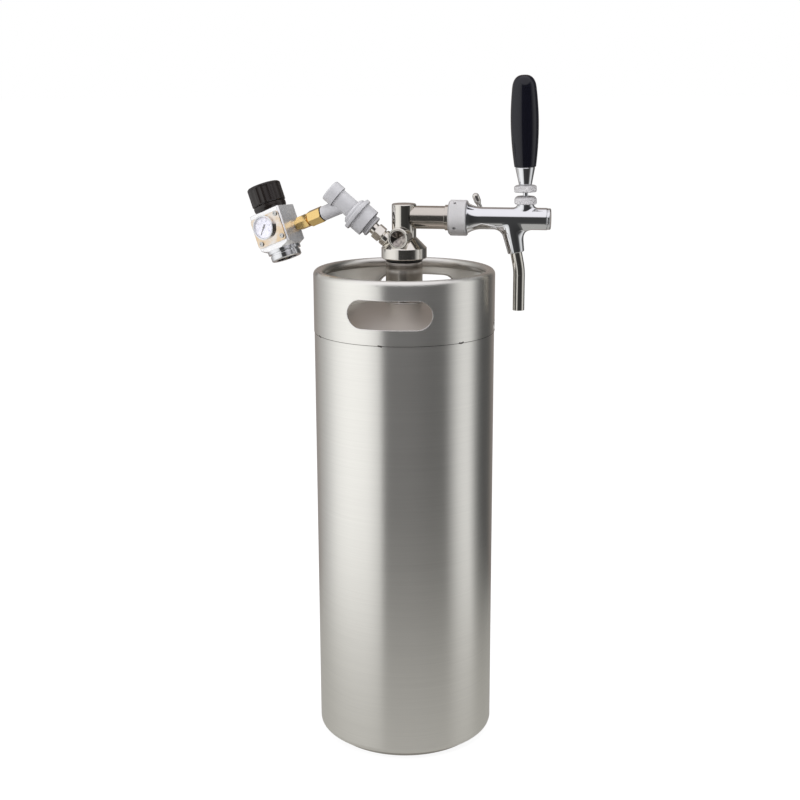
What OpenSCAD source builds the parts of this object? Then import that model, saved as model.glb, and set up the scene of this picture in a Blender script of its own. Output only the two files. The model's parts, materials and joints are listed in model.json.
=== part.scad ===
// Ten litre stainless mini keg with a screw-in tap head, a flow-control tap,
// a ball-lock gas disconnect and a small gas regulator.
// Millimetres. Origin at the centre of the foot, +Z up, the tap arm runs along +X.

/* [Keg] */
// Outside diameter of the keg body
keg_d = 176; // [166:1:200]
// Sheet thickness of the keg body, its base and its dome
keg_wall = 1; // [0.8:0.1:1.4]
// Height of the seam between body and skirt
seam_z = 418.2; // [200:1:520]
// Radius of the rounded bottom corner
base_corner_r = 6.7; // [4:0.1:9]
// Crown radius of the domed top
dome_crown_r = 200; // [190:1:230]
// Knuckle radius of the domed top
dome_knuckle_r = 14; // [10:0.5:16]
// Rise of the dished base
dish_rise = 7; // [4:0.5:10]

/* [Foot ring] */
// Outside diameter of the foot ring
foot_d = 153; // [140:1:156]
// Height of the foot ring
foot_h = 5.1; // [4:0.1:8]
// Sheet thickness of the foot ring
foot_wall = 1.2; // [1:0.1:2]
// Width of the foot ring's turned-in sole
foot_sole = 5; // [3:0.5:8]

/* [Skirt] */
// Height of the skirt from the seam to the rim
skirt_h = 60.4; // [56:0.2:72]
// Sheet thickness of the skirt
skirt_wall = 1.2; // [1:0.1:1.6]
// How far the skirt stands proud of the body
skirt_proud = 0.4; // [0.2:0.1:0.8]
// Open seam line between body and skirt
seam_gap = 0.5; // [0.3:0.1:0.8]
// Radius of the rolled rim
rim_r = 4.9; // [4:0.1:5.5]
// Height of the handle slots
slot_h = 28.4; // [24:0.2:32]
// Width of the handle slots, measured straight across
slot_w = 81.6; // [70:0.2:90]
// Distance from the seam up to the middle of the handle slots
slot_up = 28.6; // [26:0.2:32]
// Depth of the turned-in lips round the handle slots
slot_lip = 4; // [3:0.2:6]
// Diameter of the drain holes
drain_d = 11; // [6:0.5:12]
// Distance from the seam up to the middle of the drain holes
drain_up = 7.3; // [6.8:0.1:9]

/* [Neck and seal] */
// Outside diameter of the neck
neck_d = 35.8; // [35:0.1:38]
// Wall of the neck
neck_wall = 1.9; // [1.6:0.1:2.2]
// Height of the neck's lip above the rim
neck_rise = 7.8; // [4:0.2:12]
// Thickness of the neck O-ring
seal_t = 2.1; // [1.6:0.1:2.6]

/* [Head] */
// Diameter of the head's collar
collar_d = 44; // [42:0.5:48]
// Height of the collar
collar_h = 10.2; // [9:0.2:12]
// Height of the cone above the collar
cone_h = 9.6; // [8:0.2:11]
// Diameter of the cone's top
cone_top_d = 25.2; // [24:0.2:27]
// Diameter of the column
column_d = 23.6; // [22:0.2:25]
// Height of the tap arm's axis above the neck's lip
arm_up = 41.9; // [40:0.2:48]
// Height of the column's top above the arm's axis
column_over = 12.9; // [12.4:0.1:16]
// Depth of the thread plug below the collar
plug_h = 22; // [16:0.5:26]
// Diameter of the beer passage
beer_bore_d = 8; // [7:0.2:9]
// Diameter of the gas passages
gas_bore_d = 3; // [2:0.2:3.4]

/* [Dip tube] */
// Outside diameter of the dip tube
dip_d = 8; // [7:0.2:8.4]
// Wall of the dip tube
dip_wall = 0.8; // [0.6:0.1:1]
// Clearance from the dip tube's end to the floor of the keg
dip_foot_gap = 6; // [4:0.5:12]
// Length of the dip tube inside the plug
dip_seat = 15; // [10:0.5:18]

/* [Relief valve] */
// Diameter of the relief boss
boss_d = 20.6; // [19:0.2:21]
// Distance from the column's axis to the face of the boss
boss_reach = 21; // [20:0.2:23]
// Height of the boss's axis above the collar's top
boss_up = 10.7; // [10.6:0.1:12]
// Turn of the boss from the far side of the arm, seen from above
boss_turn = 97; // [90:1:100]
// Diameter of the relief plug
relief_plug_d = 17.2; // [15:0.2:17.6]

/* [Gas post] */
// Angle of the gas post above the horizontal
post_lift = 40; // [36:1:44]
// Height at which the post's axis crosses the column's axis, above the neck's lip
post_up = 5.8; // [5:0.1:7]
// Distance along the post's axis to the foot of its collar
post_start = 20.4; // [20:0.1:22]
// Diameter of the post's lower collar
post_collar_d = 15.2; // [14:0.2:16]
// Width of the post's hexagon across its flats
post_hex_w = 14.2; // [13:0.2:15]
// Diameter of the post's barrel
post_barrel_d = 15; // [14:0.1:15.2]
// Diameter of the post's neck below the barrel
post_neck_d = 11.6; // [10.5:0.1:12]
// Length of the post's barrel
post_barrel_len = 16.6; // [15.8:0.1:17.6]
// Depth of the post's spring chamber below its top
post_chamber_depth = 20; // [18:0.2:22]

/* [Gas disconnect] */
// Diameter of the release collar's skirt
skirt_ring_d = 28.5; // [28:0.1:30]
// Diameter of the release collar's flange
flange_d = 33.8; // [31:0.2:36]
// Diameter of the disconnect's stem
stem_d = 18.2; // [17:0.2:18.6]
// Length of the disconnect's stem above its shoulder
stem_len = 23.7; // [22.8:0.1:26]
// Diameter of the disconnect's cap
cap_d = 21.9; // [20:0.1:24]
// Height of the disconnect's cap
cap_h = 10.9; // [9:0.1:13]
// Diameter of the outlet tube
outlet_d = 14.2; // [13.6:0.1:14.6]
// Angle between the disconnect's axis and its outlet
outlet_angle = 64.4; // [62:0.2:70]
// Turn of the outlet about the post's axis
outlet_turn = -19; // [-40:1:20]
// Height of the outlet above the stem's shoulder, on the disconnect's axis
outlet_rise = 13.4; // [12:0.1:14]
// Distance from the disconnect's axis to the outlet's shoulder
outlet_reach = 27; // [26.5:0.1:32]
// Travel of the release collar
collar_travel = 2.8; // [2:0.1:3]
// Diameter of the lock balls
ball_d = 4; // [3.6:0.1:4.2]

/* [Brass joint] */
// Width of the swivel nut across its flats
swivel_w = 14.3; // [14:0.1:16]
// Length of the swivel nut
swivel_len = 15; // [14:0.2:18]
// Width of the fitting's hexagon across its flats
fitting_w = 12.4; // [11:0.2:14]
// Length of the fitting's hexagon
fitting_len = 12.3; // [10:0.1:15]
// Length of the fitting's round shoulder at the regulator
fitting_neck = 3.1; // [2:0.1:5]

/* [Regulator] */
// Turn of the regulator about the outlet's axis
regulator_roll = 18; // [0:1:40]
// Width of the regulator block
block_w = 36; // [35:0.5:42]
// Depth of the regulator block
block_d = 30; // [28:0.5:36]
// Height of the regulator block with its tapered foot
block_h = 39.5; // [38:0.5:46]
// Height of the brass port above the block's foot
port_up = 17.8; // [16:0.2:20]
// Distance of the brass port behind the block's middle
port_back = 9; // [8.6:0.1:9.6]
// Diameter of the adjusting knob
knob_d = 33.8; // [33:0.2:36]
// Height of the adjusting knob
knob_h = 19.7; // [19.2:0.1:24]
// Turns of the knob from closed to fully backed off
knob_turns = 3; // [2:0.25:3]
// Height of the black ring under the knob
bonnet_h = 5.9; // [5:0.1:8]
// Diameter of the cylinder inlet's bore
inlet_d = 21; // [18:0.2:22]
// Length of the cylinder inlet's wall
inlet_len = 7; // [5:0.1:8]
// Outside diameter of the gauge
gauge_d = 24; // [22:0.2:26]
// Depth of the gauge
gauge_t = 3.2; // [3:0.1:5]

/* [Tap] */
// Diameter of the shank
shank_d = 22.1; // [20:0.1:22.4]
// Distance from the column's axis to the coupling nut
nut_start = 44; // [40:0.5:60]
// Length of the coupling nut
nut_len = 17.6; // [17:0.1:20]
// Diameter of the coupling nut
nut_d = 34.1; // [33.5:0.1:36]
// Diameter of the tap's body
tap_d = 21; // [20.6:0.1:22]
// Diameter of the tap's flared shoulder at the coupling nut
shoulder_d = 29.4; // [28.8:0.2:32]
// Distance from the nut's face to the lever's axis
lever_out = 55.3; // [54:0.2:60]
// Distance from the lever's axis to the end of the body
tap_nose = 21; // [20:0.2:26]
// Distance from the lever's axis back to the tap's valve seat
seat_back = 21.9; // [21:0.1:23]
// Thickness of the end cap
end_cap_t = 3; // [2:0.1:5]
// Lean of the spout's boss from the vertical
spout_lean = 11; // [9:0.5:12]
// Distance from the lever's axis back to the spout's axis, at the arm
spout_back = 14.5; // [14:0.1:15.2]
// Length of the spout's boss from the arm's axis
spout_boss_len = 32.9; // [30:0.1:38]
// Outside diameter of the spout tube
spout_d = 11.2; // [10.6:0.1:11.6]
// Wall of the spout tube
spout_wall = 0.8; // [0.6:0.1:1]
// Length of the spout tube's upright end
spout_end_len = 33.6; // [20:0.2:60]

/* [Tap handle] */
// Swing of the handle from shut to open
handle_swing = 24; // [18:1:24]
// Backward lean of the shut handle
handle_lean = 1.6; // [0:0.1:2]
// Height of the lever's ball above the arm's axis
ball_up = 15.7; // [15.4:0.1:16]
// Diameter of the bonnet nut
bonnet_nut_d = 21.2; // [20:0.2:23]
// Diameter of the lock nut
lock_nut_d = 21.4; // [18:0.2:22]
// Height of the lock nut
lock_nut_h = 6.6; // [5:0.2:8]
// Height of the chrome ferrule
ferrule_h = 16.7; // [14:0.1:22]
// Diameter of the ferrule's top
ferrule_top_d = 18.6; // [17:0.2:21]
// Diameter of the handle's foot
handle_foot_d = 20.3; // [19:0.1:22]
// Greatest diameter of the handle
handle_d = 25.5; // [24.5:0.1:28]
// Height of the handle
handle_h = 84.6; // [70:0.2:120]

/* [Flow control] */
// Distance from the nut's face to the flow lever's axis
flow_out = 13.7; // [13:0.1:15]
// Length of the flow lever
flow_len = 24; // [18:0.5:30]
// Thickness of the flow lever
flow_lever_d = 6.6; // [5:0.1:7]
// Lean of the flow lever towards the keg
flow_lean = 22; // [0:1:40]
// Throw of the eccentric that moves the compensator
flow_throw = 1.9; // [1.4:0.1:2.1]

/* [Hidden] */
$fn = 64;

steel = [0.72, 0.71, 0.69];
polished = [0.80, 0.79, 0.76];
chrome = [0.84, 0.85, 0.87];
satin = [0.70, 0.70, 0.69];
brass = [0.86, 0.68, 0.36];
grey_plastic = [0.78, 0.78, 0.79];
black_plastic = [0.07, 0.07, 0.08];
black_rubber = [0.05, 0.05, 0.05];
alloy = [0.80, 0.81, 0.82];

// Clearances: welded or screwed pieces of one body, and pieces that move
weld_gap = 0.05;
screw_gap = 0.1;
move_gap = 0.3;
run_gap = 0.05;
cut = 1;

// Keg
keg_r = keg_d / 2;
skirt_r = keg_r + skirt_proud;
skirt_in_r = skirt_r - skirt_wall;
rim_z = seam_z + skirt_h;
neck_r = neck_d / 2;
neck_bore_r = neck_r - neck_wall;
neck_top_z = rim_z + neck_rise;
foot_r = foot_d / 2;
dome_r = keg_r - keg_wall - weld_gap;
dome_flange = 10;
dome_drop = sqrt(pow(dome_crown_r - dome_knuckle_r, 2) - pow(dome_r - dome_knuckle_r, 2));
dome_centre_z = seam_z - dome_drop;
dome_tangent_r = dome_crown_r * (dome_r - dome_knuckle_r) / (dome_crown_r - dome_knuckle_r);
neck_foot_z = dome_centre_z + sqrt(pow(dome_crown_r, 2) - pow(neck_r, 2));
dish_r = foot_r - foot_sole;
dish_crown_r = (pow(dish_r, 2) + pow(dish_rise, 2)) / (2 * dish_rise);
slot_z = seam_z + slot_up;
drain_z = seam_z + drain_up;

// Head, measured up from the collar's underside
seal_room = seal_t + 2 * screw_gap;
collar_z = neck_top_z + seal_room;
collar_r = collar_d / 2;
column_r = column_d / 2;
plug_r = neck_bore_r - move_gap;
arm_z = neck_top_z + arm_up;
column_top_z = arm_z + column_over;
edge_r = 1.5;
boss_z = collar_z + collar_h + boss_up;
boss_r = boss_d / 2;
boss_rim = 0.8;
relief_floor = 12;
relief_seat = relief_floor + move_gap;
relief_poppet_t = 1.6;
relief_wall = 2;
relief_cavity_r = relief_plug_d / 2 - 2.4;
gas_bore_r = gas_bore_d / 2;
gas_bore_at = 9.6;
dip_r = dip_d / 2;
dip_top_z = collar_z - plug_h + dip_seat;
shank_socket_r = 7;
shank_socket_x = 5;

// Gas post, distances along its axis from the column's axis
post_z = neck_top_z + post_up;
post_thread_r = 5.6;
post_root = 12.5;
post_collar_len = 6.4;
post_hex = post_start + 7.7;
post_hex_len = 7.9;
post_neck = post_hex + post_hex_len;
post_barrel = post_neck + 5.4;
post_barrel_r = post_barrel_d / 2;
post_top = post_barrel + post_barrel_len;
post_groove = post_barrel + 5.4;
post_groove_len = 3.8;
post_groove_r = post_barrel_r - 1;
post_ring = post_barrel + 13.2;
post_ring_t = 2;
post_chamber_r = 3.9;
post_chamber = post_top - post_chamber_depth;
post_lip = 3;
poppet_head = 1.6;

// Gas disconnect, distances along the post's axis
sleeve_in_r = post_barrel_r + 0.5;
sleeve_r = sleeve_in_r + 2.3;
insert_start = post_neck + 4;
insert_t = 2.2;
insert_r = sleeve_r + 0.5;
sleeve_start = insert_start + insert_t + 0.2;
collar_start = insert_start + 5.4;
ball_at = post_groove + post_groove_len / 2;
ball_r = ball_d / 2;
ball_ring_r = post_groove_r + 0.4 + ball_r;
collar_grip_r = ball_ring_r + ball_r + move_gap;
collar_outer_r = skirt_ring_d / 2;
collar_cavity_r = collar_outer_r - 1.45;
collar_shoulder = collar_start + 7.8;
sleeve_floor = post_top + 0.6;
sleeve_top = sleeve_floor + 2.4;
body_flange_t = 2;
body_flange_r = collar_cavity_r - 0.5;
collar_flange = collar_start + 12.1;
collar_flange_t = 4.2;
collar_step_r = collar_cavity_r + 0.8;
collar_top = sleeve_top + body_flange_t + 4;
stem_r = stem_d / 2;
stem_top = sleeve_top + stem_len;
stem_chamber_r = 4.2;
outlet_cross = sleeve_top + outlet_rise;
outlet_r = outlet_d / 2;
outlet_bore_r = 2.6;
pin_r = 1.5;
pin_flange = sleeve_top + 1.3;
cap_spigot = 4.5;

// Brass joint, distances along the outlet's axis
flare_r = 5.3;
washer_t = 1;
nut_foot = outlet_reach + washer_t + 2 * screw_gap;
nut_top = nut_foot + swivel_len;
nut_lip = 3.2;
flare_end = nut_top - nut_lip - 3.2;
fitting_head_t = 2.4;
fitting_bore_r = 2;
fitting_throat_r = 3.9;
fitting_hex = nut_top + 2.2;
fitting_thread_r = 4.7;
fitting_thread = 7;
regulator_reach = fitting_hex + fitting_len + fitting_neck;

// Regulator, measured up from the block's foot
block_taper = 4.3;
block_corner_r = 2.5;
foot_collar_r = 16.6;
valve_bore_r = 4;
spigot_r = 9;
spigot_h = 6;
chamber_r = 12.2;
chamber_z = block_h - 11.5;
diaphragm_t = 2;
diaphragm_z = chamber_z + 1.5;
housing_r = 12.9;
housing_wall = 2.9;
knob_r = knob_d / 2;
knob_z = block_h + screw_gap + bonnet_h + move_gap;
knob_roof = 3;
knob_flutes = 14;
knob_cup_r = housing_r + 0.5;
bonnet_r = knob_r - 0.6;
bonnet_foot_r = bonnet_r - 1;
screw_r = 3;
thread_pitch = 1.5;
plate_t = 1.8;
plate_z = block_h + 9;
housing_roof = 3;
housing_h = plate_z - block_h + plate_t + knob_turns * thread_pitch + 2.2 + housing_roof;
screw_foot_z = plate_z + plate_t + 0.2;
adapter_neck_r = foot_collar_r - 2.4;
adapter_ring_r = foot_collar_r - 1.4;
adapter_h = 10.2;
adapter_collar_h = 3;
adapter_groove_h = 2;
inlet_r = inlet_d / 2;
inlet_seat_r = inlet_r - 2.5;
seat_depth = 1.3;
inlet_pin_foot = inlet_len - adapter_h - screw_gap + 0.2;
inlet_pin_len = port_up - 3 - inlet_pin_foot;
gauge_r = gauge_d / 2;
gauge_x = -3.1;
gauge_z = 23.8;
face_plate_t = 1.2;
face_plate = [34.4, 29.4];
face_plate_at = [0, 20.4];
face_corner_r = 3;
plate_screws_at = [[13.7, 32.6], [13.4, 9.9], [-12.4, 9.6]];
plate_screw_r = 1.5;
face_y = -block_d / 2 - screw_gap;
gauge_back = 0.8;
gauge_rim = 1.4;
dial_r = gauge_r - gauge_rim - screw_gap;
gauge_y = face_y - face_plate_t - screw_gap;
gauge_stem_r = 3;

// Tap, distances along the arm from the column's axis
shank_r = shank_d / 2;
shank_flange_r = shank_r + 2.15;
shank_ring_r = shank_r + 1.15;
shank_ring_t = 3.3;
nut_r = nut_d / 2;
nut_lip_t = 3;
shank_face = nut_start + nut_lip_t + move_gap + 3;
seal_disc_t = 2;
tail_start = shank_face + seal_disc_t + 2 * screw_gap;
nut_end = nut_start + nut_len;
tail_r = shoulder_d / 2 - 0.6;
tap_r = tap_d / 2;
flare_len = 14;
flare_rise = shoulder_d / 2 - tap_r;
flare_arc_r = (pow(flare_len, 2) + pow(flare_rise, 2)) / (2 * flare_rise);
lever_x = nut_end + lever_out;
tap_end = lever_x + tap_nose;
rear_bore_r = 7.2;
front_bore_r = 5.2;
seat_x = lever_x - seat_back;
seat_t = 3;
seat_r = 4.6;
spout_x = lever_x - spout_back;
spout_r = spout_d / 2;
spout_boss_r = spout_r + 2.3;
spout_boss_root_r = tap_r - 0.3;
spout_fillet_r = 5.5;
spout_socket = 14;
spout_port_r = 3.3;
spout_bend_r = 60;
spout_straight = spout_boss_len + 10.6;
shaft_r = 3;
shaft_seal_x = lever_x - 10;
shaft_seal_t = 1.3;
tip_r = 1.7;
tip_down = ball_up - 1.3;
tip_x = lever_x + tip_down * sin(handle_lean);
slot_back = tip_down * sin(handle_swing - handle_lean) + 1.5;
lever_ball_r = 6;
stem_rod_r = 2.4;
tap_neck_r = 7.6;
tap_neck_bore_r = lever_ball_r + 0.4;
bonnet_foot_up = ball_up - 1.7;
bonnet_top_up = ball_up + 5.6;
lock_nut_up = 9.6;
ferrule_up = lock_nut_up + lock_nut_h + screw_gap;
handle_up = ferrule_up + ferrule_h + screw_gap;
ferrule_foot_r = 6.15;
handle_spigot_r = 4;
handle_spigot = 12;
handle_round = 7.6;
cap_guide = 11;
flow_x = nut_end + flow_out;
flow_hub_r = 6;
flow_boss_r = 6.6;
flow_boss_y = tap_r + 2;
flow_shaft_r = 3.1;
flow_lever_r = flow_lever_d / 2;
eccentric_r = 0.9;
flow_tip_y = 7;
pin_x = flow_x - flow_throw * sin(flow_lean);
cone_r = rear_bore_r - 0.5;
cone_nose_r = 2.6;
cone_x = tail_start + 5;
cone_slope = (cone_r - cone_nose_r) / (pin_x - 3.5 - cone_x);
cone_room = 0.6;
throat_r = 4;
throat_x = cone_x + (throat_r - cone_nose_r - cone_room) / cone_slope;
throat_end_x = cone_x + (rear_bore_r - cone_nose_r - cone_room) / cone_slope;

// Ring or tube standing on its foot
module tube(r_out, r_in, h)
    rotate_extrude() translate([r_in, 0]) square([r_out - r_in, h]);

// Disc with both rims chamfered
module chamfered(r, h, c)
    rotate_extrude()
        polygon([[0, 0], [r - c, 0], [r, c], [r, h - c], [r - c, h], [0, h]]);

// Hexagonal bar with rounded-off corners at both ends
module hex_bar(w, h)
    intersection() {
        rotate([0, 0, 30]) cylinder(r = w / sqrt(3), h = h, $fn = 6);
        chamfered(w / sqrt(3), h, 0.6);
    }

// Flat outline with two half-round ends
module stadium(w, h) {
    square([w - h, h], center = true);
    for (side = [-1, 1])
        translate([side * (w - h) / 2, 0]) circle(d = h);
}

// Rectangle with rounded corners
module rounded_rect(w, h, r) {
    square([w - 2 * r, h], center = true);
    square([w, h - 2 * r], center = true);
    for (x = [-1, 1], y = [-1, 1])
        translate([x * (w / 2 - r), y * (h / 2 - r)]) circle(r);
}

// Helical spring of round wire standing on its foot
module coil_spring(r, wire, h, turns, grain = 8) {
    steps = turns * grain;
    sides = 6;
    rise = h - 2 * wire;
    points = [for (i = [0:steps], j = [0:sides - 1])
        let (a = 360 * turns * i / steps, b = 360 * j / sides, q = r + wire * cos(b))
        [q * cos(a), q * sin(a), wire + rise * i / steps + wire * sin(b)]];
    walls = [for (i = [0:steps - 1], j = [0:sides - 1], half = [0, 1])
        let (k = (j + 1) % sides, low = i * sides, high = low + sides)
        half == 0 ? [low + j, high + j, high + k] : [low + j, high + k, low + k]];
    first = [for (j = [1:sides - 2]) [0, j, j + 1]];
    last = [for (j = [1:sides - 2]) [steps * sides, steps * sides + j + 1, steps * sides + j]];
    polyhedron(points, concat(walls, first, last));
}

// Frames in which the pieces are drawn
module along_arm() translate([0, 0, arm_z]) rotate([0, 90, 0]) children();
module at_spout() translate([spout_x, 0, arm_z]) rotate([0, 180 - spout_lean, 0]) children();
module at_lever()
    translate([lever_x, 0, arm_z + ball_up]) rotate([0, -handle_lean, 0]) children();
module at_flow() translate([flow_x, 0, arm_z]) rotate([0, -flow_lean, 0]) children();
module at_boss()
    translate([0, 0, boss_z]) rotate([0, 0, -boss_turn]) rotate([0, 90, 0]) children();
module at_post() translate([0, 0, post_z]) rotate([0, post_lift - 90, 0]) children();
module at_disconnect() at_post() rotate([0, 0, outlet_turn]) children();
module at_outlet()
    at_disconnect() translate([0, 0, outlet_cross]) rotate([0, -outlet_angle, 0]) children();
module at_regulator()
    at_outlet() rotate([0, 0, regulator_roll]) translate([0, 0, regulator_reach])
        rotate([0, 90, 0]) translate([-block_w / 2, -port_back, -port_up]) children();
// Looking at the regulator's front face, x to the right and y up it
module on_face(y) at_regulator() translate([0, y, 0]) rotate([90, 0, 0]) children();

// Keg

module keg_shell() color(steel) rotate_extrude() {
    corner_x = keg_r - base_corner_r;
    corner_z = foot_h + base_corner_r;
    translate([keg_r - keg_wall, corner_z])
        square([keg_wall, seam_z - seam_gap / 2 - corner_z]);
    intersection() {
        translate([corner_x, corner_z]) difference() {
            circle(base_corner_r);
            circle(base_corner_r - keg_wall);
        }
        translate([corner_x, foot_h]) square(base_corner_r);
    }
    translate([dish_r, foot_h]) square([corner_x - dish_r, keg_wall]);
    intersection() {
        translate([0, foot_h + dish_rise - dish_crown_r]) difference() {
            circle(dish_crown_r + keg_wall);
            circle(dish_crown_r);
        }
        translate([0, foot_h]) square([dish_r, dish_rise + keg_wall + cut]);
    }
}

module keg_top_dome() color(steel) rotate_extrude() {
    translate([dome_r - keg_wall, seam_z - dome_flange]) square([keg_wall, dome_flange]);
    difference() {
        intersection() {
            translate([dome_r - dome_knuckle_r, seam_z]) difference() {
                circle(dome_knuckle_r);
                circle(dome_knuckle_r - keg_wall);
            }
            translate([dome_tangent_r - keg_wall, seam_z]) square(dome_knuckle_r + cut);
        }
        polygon([[0, dome_centre_z], [2 * dome_tangent_r, dome_centre_z
            + 2 * dome_tangent_r * dome_drop / (dome_r - dome_knuckle_r)],
            [0, 2 * rim_z]]);
    }
    intersection() {
        translate([0, dome_centre_z]) difference() {
            circle(dome_crown_r);
            circle(dome_crown_r - keg_wall);
        }
        polygon([[neck_r + weld_gap, seam_z - dome_crown_r],
            [neck_r + weld_gap, rim_z],
            [(neck_r + weld_gap), dome_centre_z + dome_crown_r + cut],
            [2 * dome_tangent_r, dome_centre_z
                + 2 * dome_tangent_r * dome_drop / (dome_r - dome_knuckle_r)],
            [0, dome_centre_z]]);
        translate([neck_r + weld_gap, seam_z]) square([dome_r, skirt_h]);
    }
}

module keg_neck() color(polished) rotate_extrude() {
    foot_z = neck_foot_z - 2 * keg_wall;
    lip = 0.9;
    polygon([[neck_bore_r, foot_z], [neck_r, foot_z], [neck_r, neck_top_z - lip],
        [neck_r - lip, neck_top_z], [neck_bore_r, neck_top_z]]);
}

module top_skirt() color(steel) {
    foot_z = seam_z + seam_gap / 2;
    shell_h = rim_z - rim_r - foot_z;
    difference() {
        union() {
            difference() {
                union() {
                    translate([0, 0, foot_z]) tube(skirt_r, skirt_in_r, shell_h);
                    rolled_rim();
                }
                slot_prism(slot_h + 2 * skirt_wall);
            }
            intersection() {
                slot_prism(slot_h + 2 * skirt_wall);
                translate([0, 0, foot_z]) tube(skirt_r, skirt_r - slot_lip, shell_h);
            }
        }
        slot_prism(slot_h);
        translate([0, 0, drain_z]) rotate([0, 90, 0])
            cylinder(d = drain_d, h = 2 * keg_d, center = true);
    }
}

module slot_prism(h)
    translate([0, 0, slot_z]) rotate([90, 0, 0])
        linear_extrude(2 * keg_d, center = true) stadium(slot_w - slot_h + h, h);

module rolled_rim() rotate_extrude() intersection() {
    translate([skirt_r - rim_r, rim_z - rim_r]) difference() {
        circle(rim_r);
        circle(rim_r - skirt_wall);
    }
    translate([skirt_r - 2 * rim_r - cut, rim_z - 2 * rim_r - cut]) difference() {
        square([2 * rim_r + 2 * cut, 2 * rim_r + 2 * cut]);
        translate([rim_r + cut, 0]) square([rim_r + 2 * cut, rim_r + cut]);
    }
}

module foot_ring() color(steel) {
    translate([0, 0, foot_wall]) tube(foot_r, foot_r - foot_wall, foot_h - foot_wall);
    tube(foot_r, foot_r - foot_sole, foot_wall);
}

// Head

module neck_o_ring() color(black_rubber)
    translate([0, 0, neck_top_z + seal_room / 2]) rotate_extrude()
        translate([(neck_r + plug_r) / 2 + 0.5, 0]) circle(d = seal_t);

module head_body() color(polished) difference() {
    union() {
        head_turning();
        at_boss() head_boss();
    }
    translate([0, 0, collar_z - plug_h - cut])
        cylinder(d = beer_bore_d, h = arm_z - collar_z + plug_h + cut);
    translate([0, 0, collar_z - plug_h - cut])
        cylinder(r = dip_r + run_gap, h = dip_seat + cut);
    dip_ring_grooves();
    along_arm() cylinder(d = beer_bore_d, h = shank_socket_x + cut);
    along_arm() translate([0, 0, shank_socket_x])
        cylinder(r = shank_socket_r + screw_gap, h = column_r);
    at_post() translate([0, 0, post_root])
        cylinder(r = post_thread_r + screw_gap, h = collar_d);
    at_post() translate([0, 0, post_start - screw_gap])
        cylinder(r = post_collar_d / 2 + move_gap, h = collar_d);
    translate([-gas_bore_at, 0, collar_z - plug_h - cut])
        cylinder(r = gas_bore_r, h = post_z - collar_z + plug_h + 8);
    rotate([0, 0, -boss_turn]) translate([gas_bore_at, 0, collar_z - plug_h - cut])
        cylinder(r = gas_bore_r - 0.2, h = boss_z - collar_z + plug_h + cut);
    at_boss() translate([0, 0, gas_bore_at])
        cylinder(r = gas_bore_r - 0.2, h = relief_floor);
    at_boss() translate([0, 0, relief_floor])
        cylinder(d = relief_plug_d + 2 * screw_gap, h = boss_reach);
}

module head_turning() translate([0, 0, collar_z]) rotate_extrude() {
    top = column_top_z - collar_z;
    chamfer = 0.7;
    polygon([[0, -plug_h], [plug_r - chamfer, -plug_h], [plug_r, chamfer - plug_h],
        [plug_r, 0], [collar_r - chamfer, 0], [collar_r, chamfer], [collar_r, collar_h],
        [cone_top_d / 2, collar_h + cone_h], [column_r, collar_h + cone_h + 0.6],
        [column_r, top - edge_r], [0, top - edge_r]]);
    square([column_r - edge_r, top]);
    translate([column_r - edge_r, top - edge_r]) circle(edge_r);
}

module head_boss() rotate_extrude() polygon([[0, 0], [boss_r, 0],
    [boss_r, boss_reach - boss_rim], [boss_r - boss_rim, boss_reach], [0, boss_reach]]);

module dip_ring_grooves()
    for (up = [5, 10])
        translate([0, 0, collar_z - plug_h + up - 1.1]) cylinder(r = dip_r + 1.5, h = 2.2);

module dip_tube() color(polished) difference() {
    foot_z = foot_h + dish_rise + keg_wall + dip_foot_gap;
    translate([0, 0, foot_z]) tube(dip_r, dip_r - dip_wall, dip_top_z - screw_gap - foot_z);
    translate([0, 0, foot_z]) rotate([0, 35, 0])
        translate([0, 0, -dip_d]) cube([4 * dip_d, 4 * dip_d, 2 * dip_d], center = true);
}

module dip_tube_seals() color(black_rubber)
    for (up = [5, 10])
        translate([0, 0, collar_z - plug_h + up]) rotate_extrude()
            translate([dip_r + 0.75, 0]) circle(0.68);

// Relief valve

module relief_plug() color(polished) at_boss() translate([0, 0, relief_floor + screw_gap])
    rotate_extrude() {
        h = boss_reach - 0.5 - relief_floor;
        r = relief_plug_d / 2;
        polygon([[relief_cavity_r, 0], [r, 0], [r, h - 0.5], [r - 0.5, h], [0, h],
            [0, h - relief_wall], [relief_cavity_r, h - relief_wall]]);
    }

module relief_poppet() color(polished) at_boss() translate([0, 0, relief_seat])
    rotate_extrude() polygon([[0, 0], [4.2, 0], [4.2, relief_poppet_t], [1.4, relief_poppet_t],
        [1.4, 3.4], [0, 3.4]]);

module relief_spring() color(satin) at_boss()
    translate([0, 0, relief_seat + relief_poppet_t + screw_gap])
        coil_spring(3, 0.4, boss_reach - relief_wall - 0.8 - relief_seat - relief_poppet_t, 4);

// Gas post

module gas_post() color(polished) at_post() difference() {
    union() {
        rotate_extrude() post_outline();
        translate([0, 0, post_hex]) hex_bar(post_hex_w, post_hex_len);
    }
    translate([0, 0, post_root - cut]) cylinder(r = gas_bore_r + 0.7, h = post_top);
    translate([0, 0, post_chamber])
        cylinder(r = post_chamber_r, h = post_top - post_lip - post_chamber);
}

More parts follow.
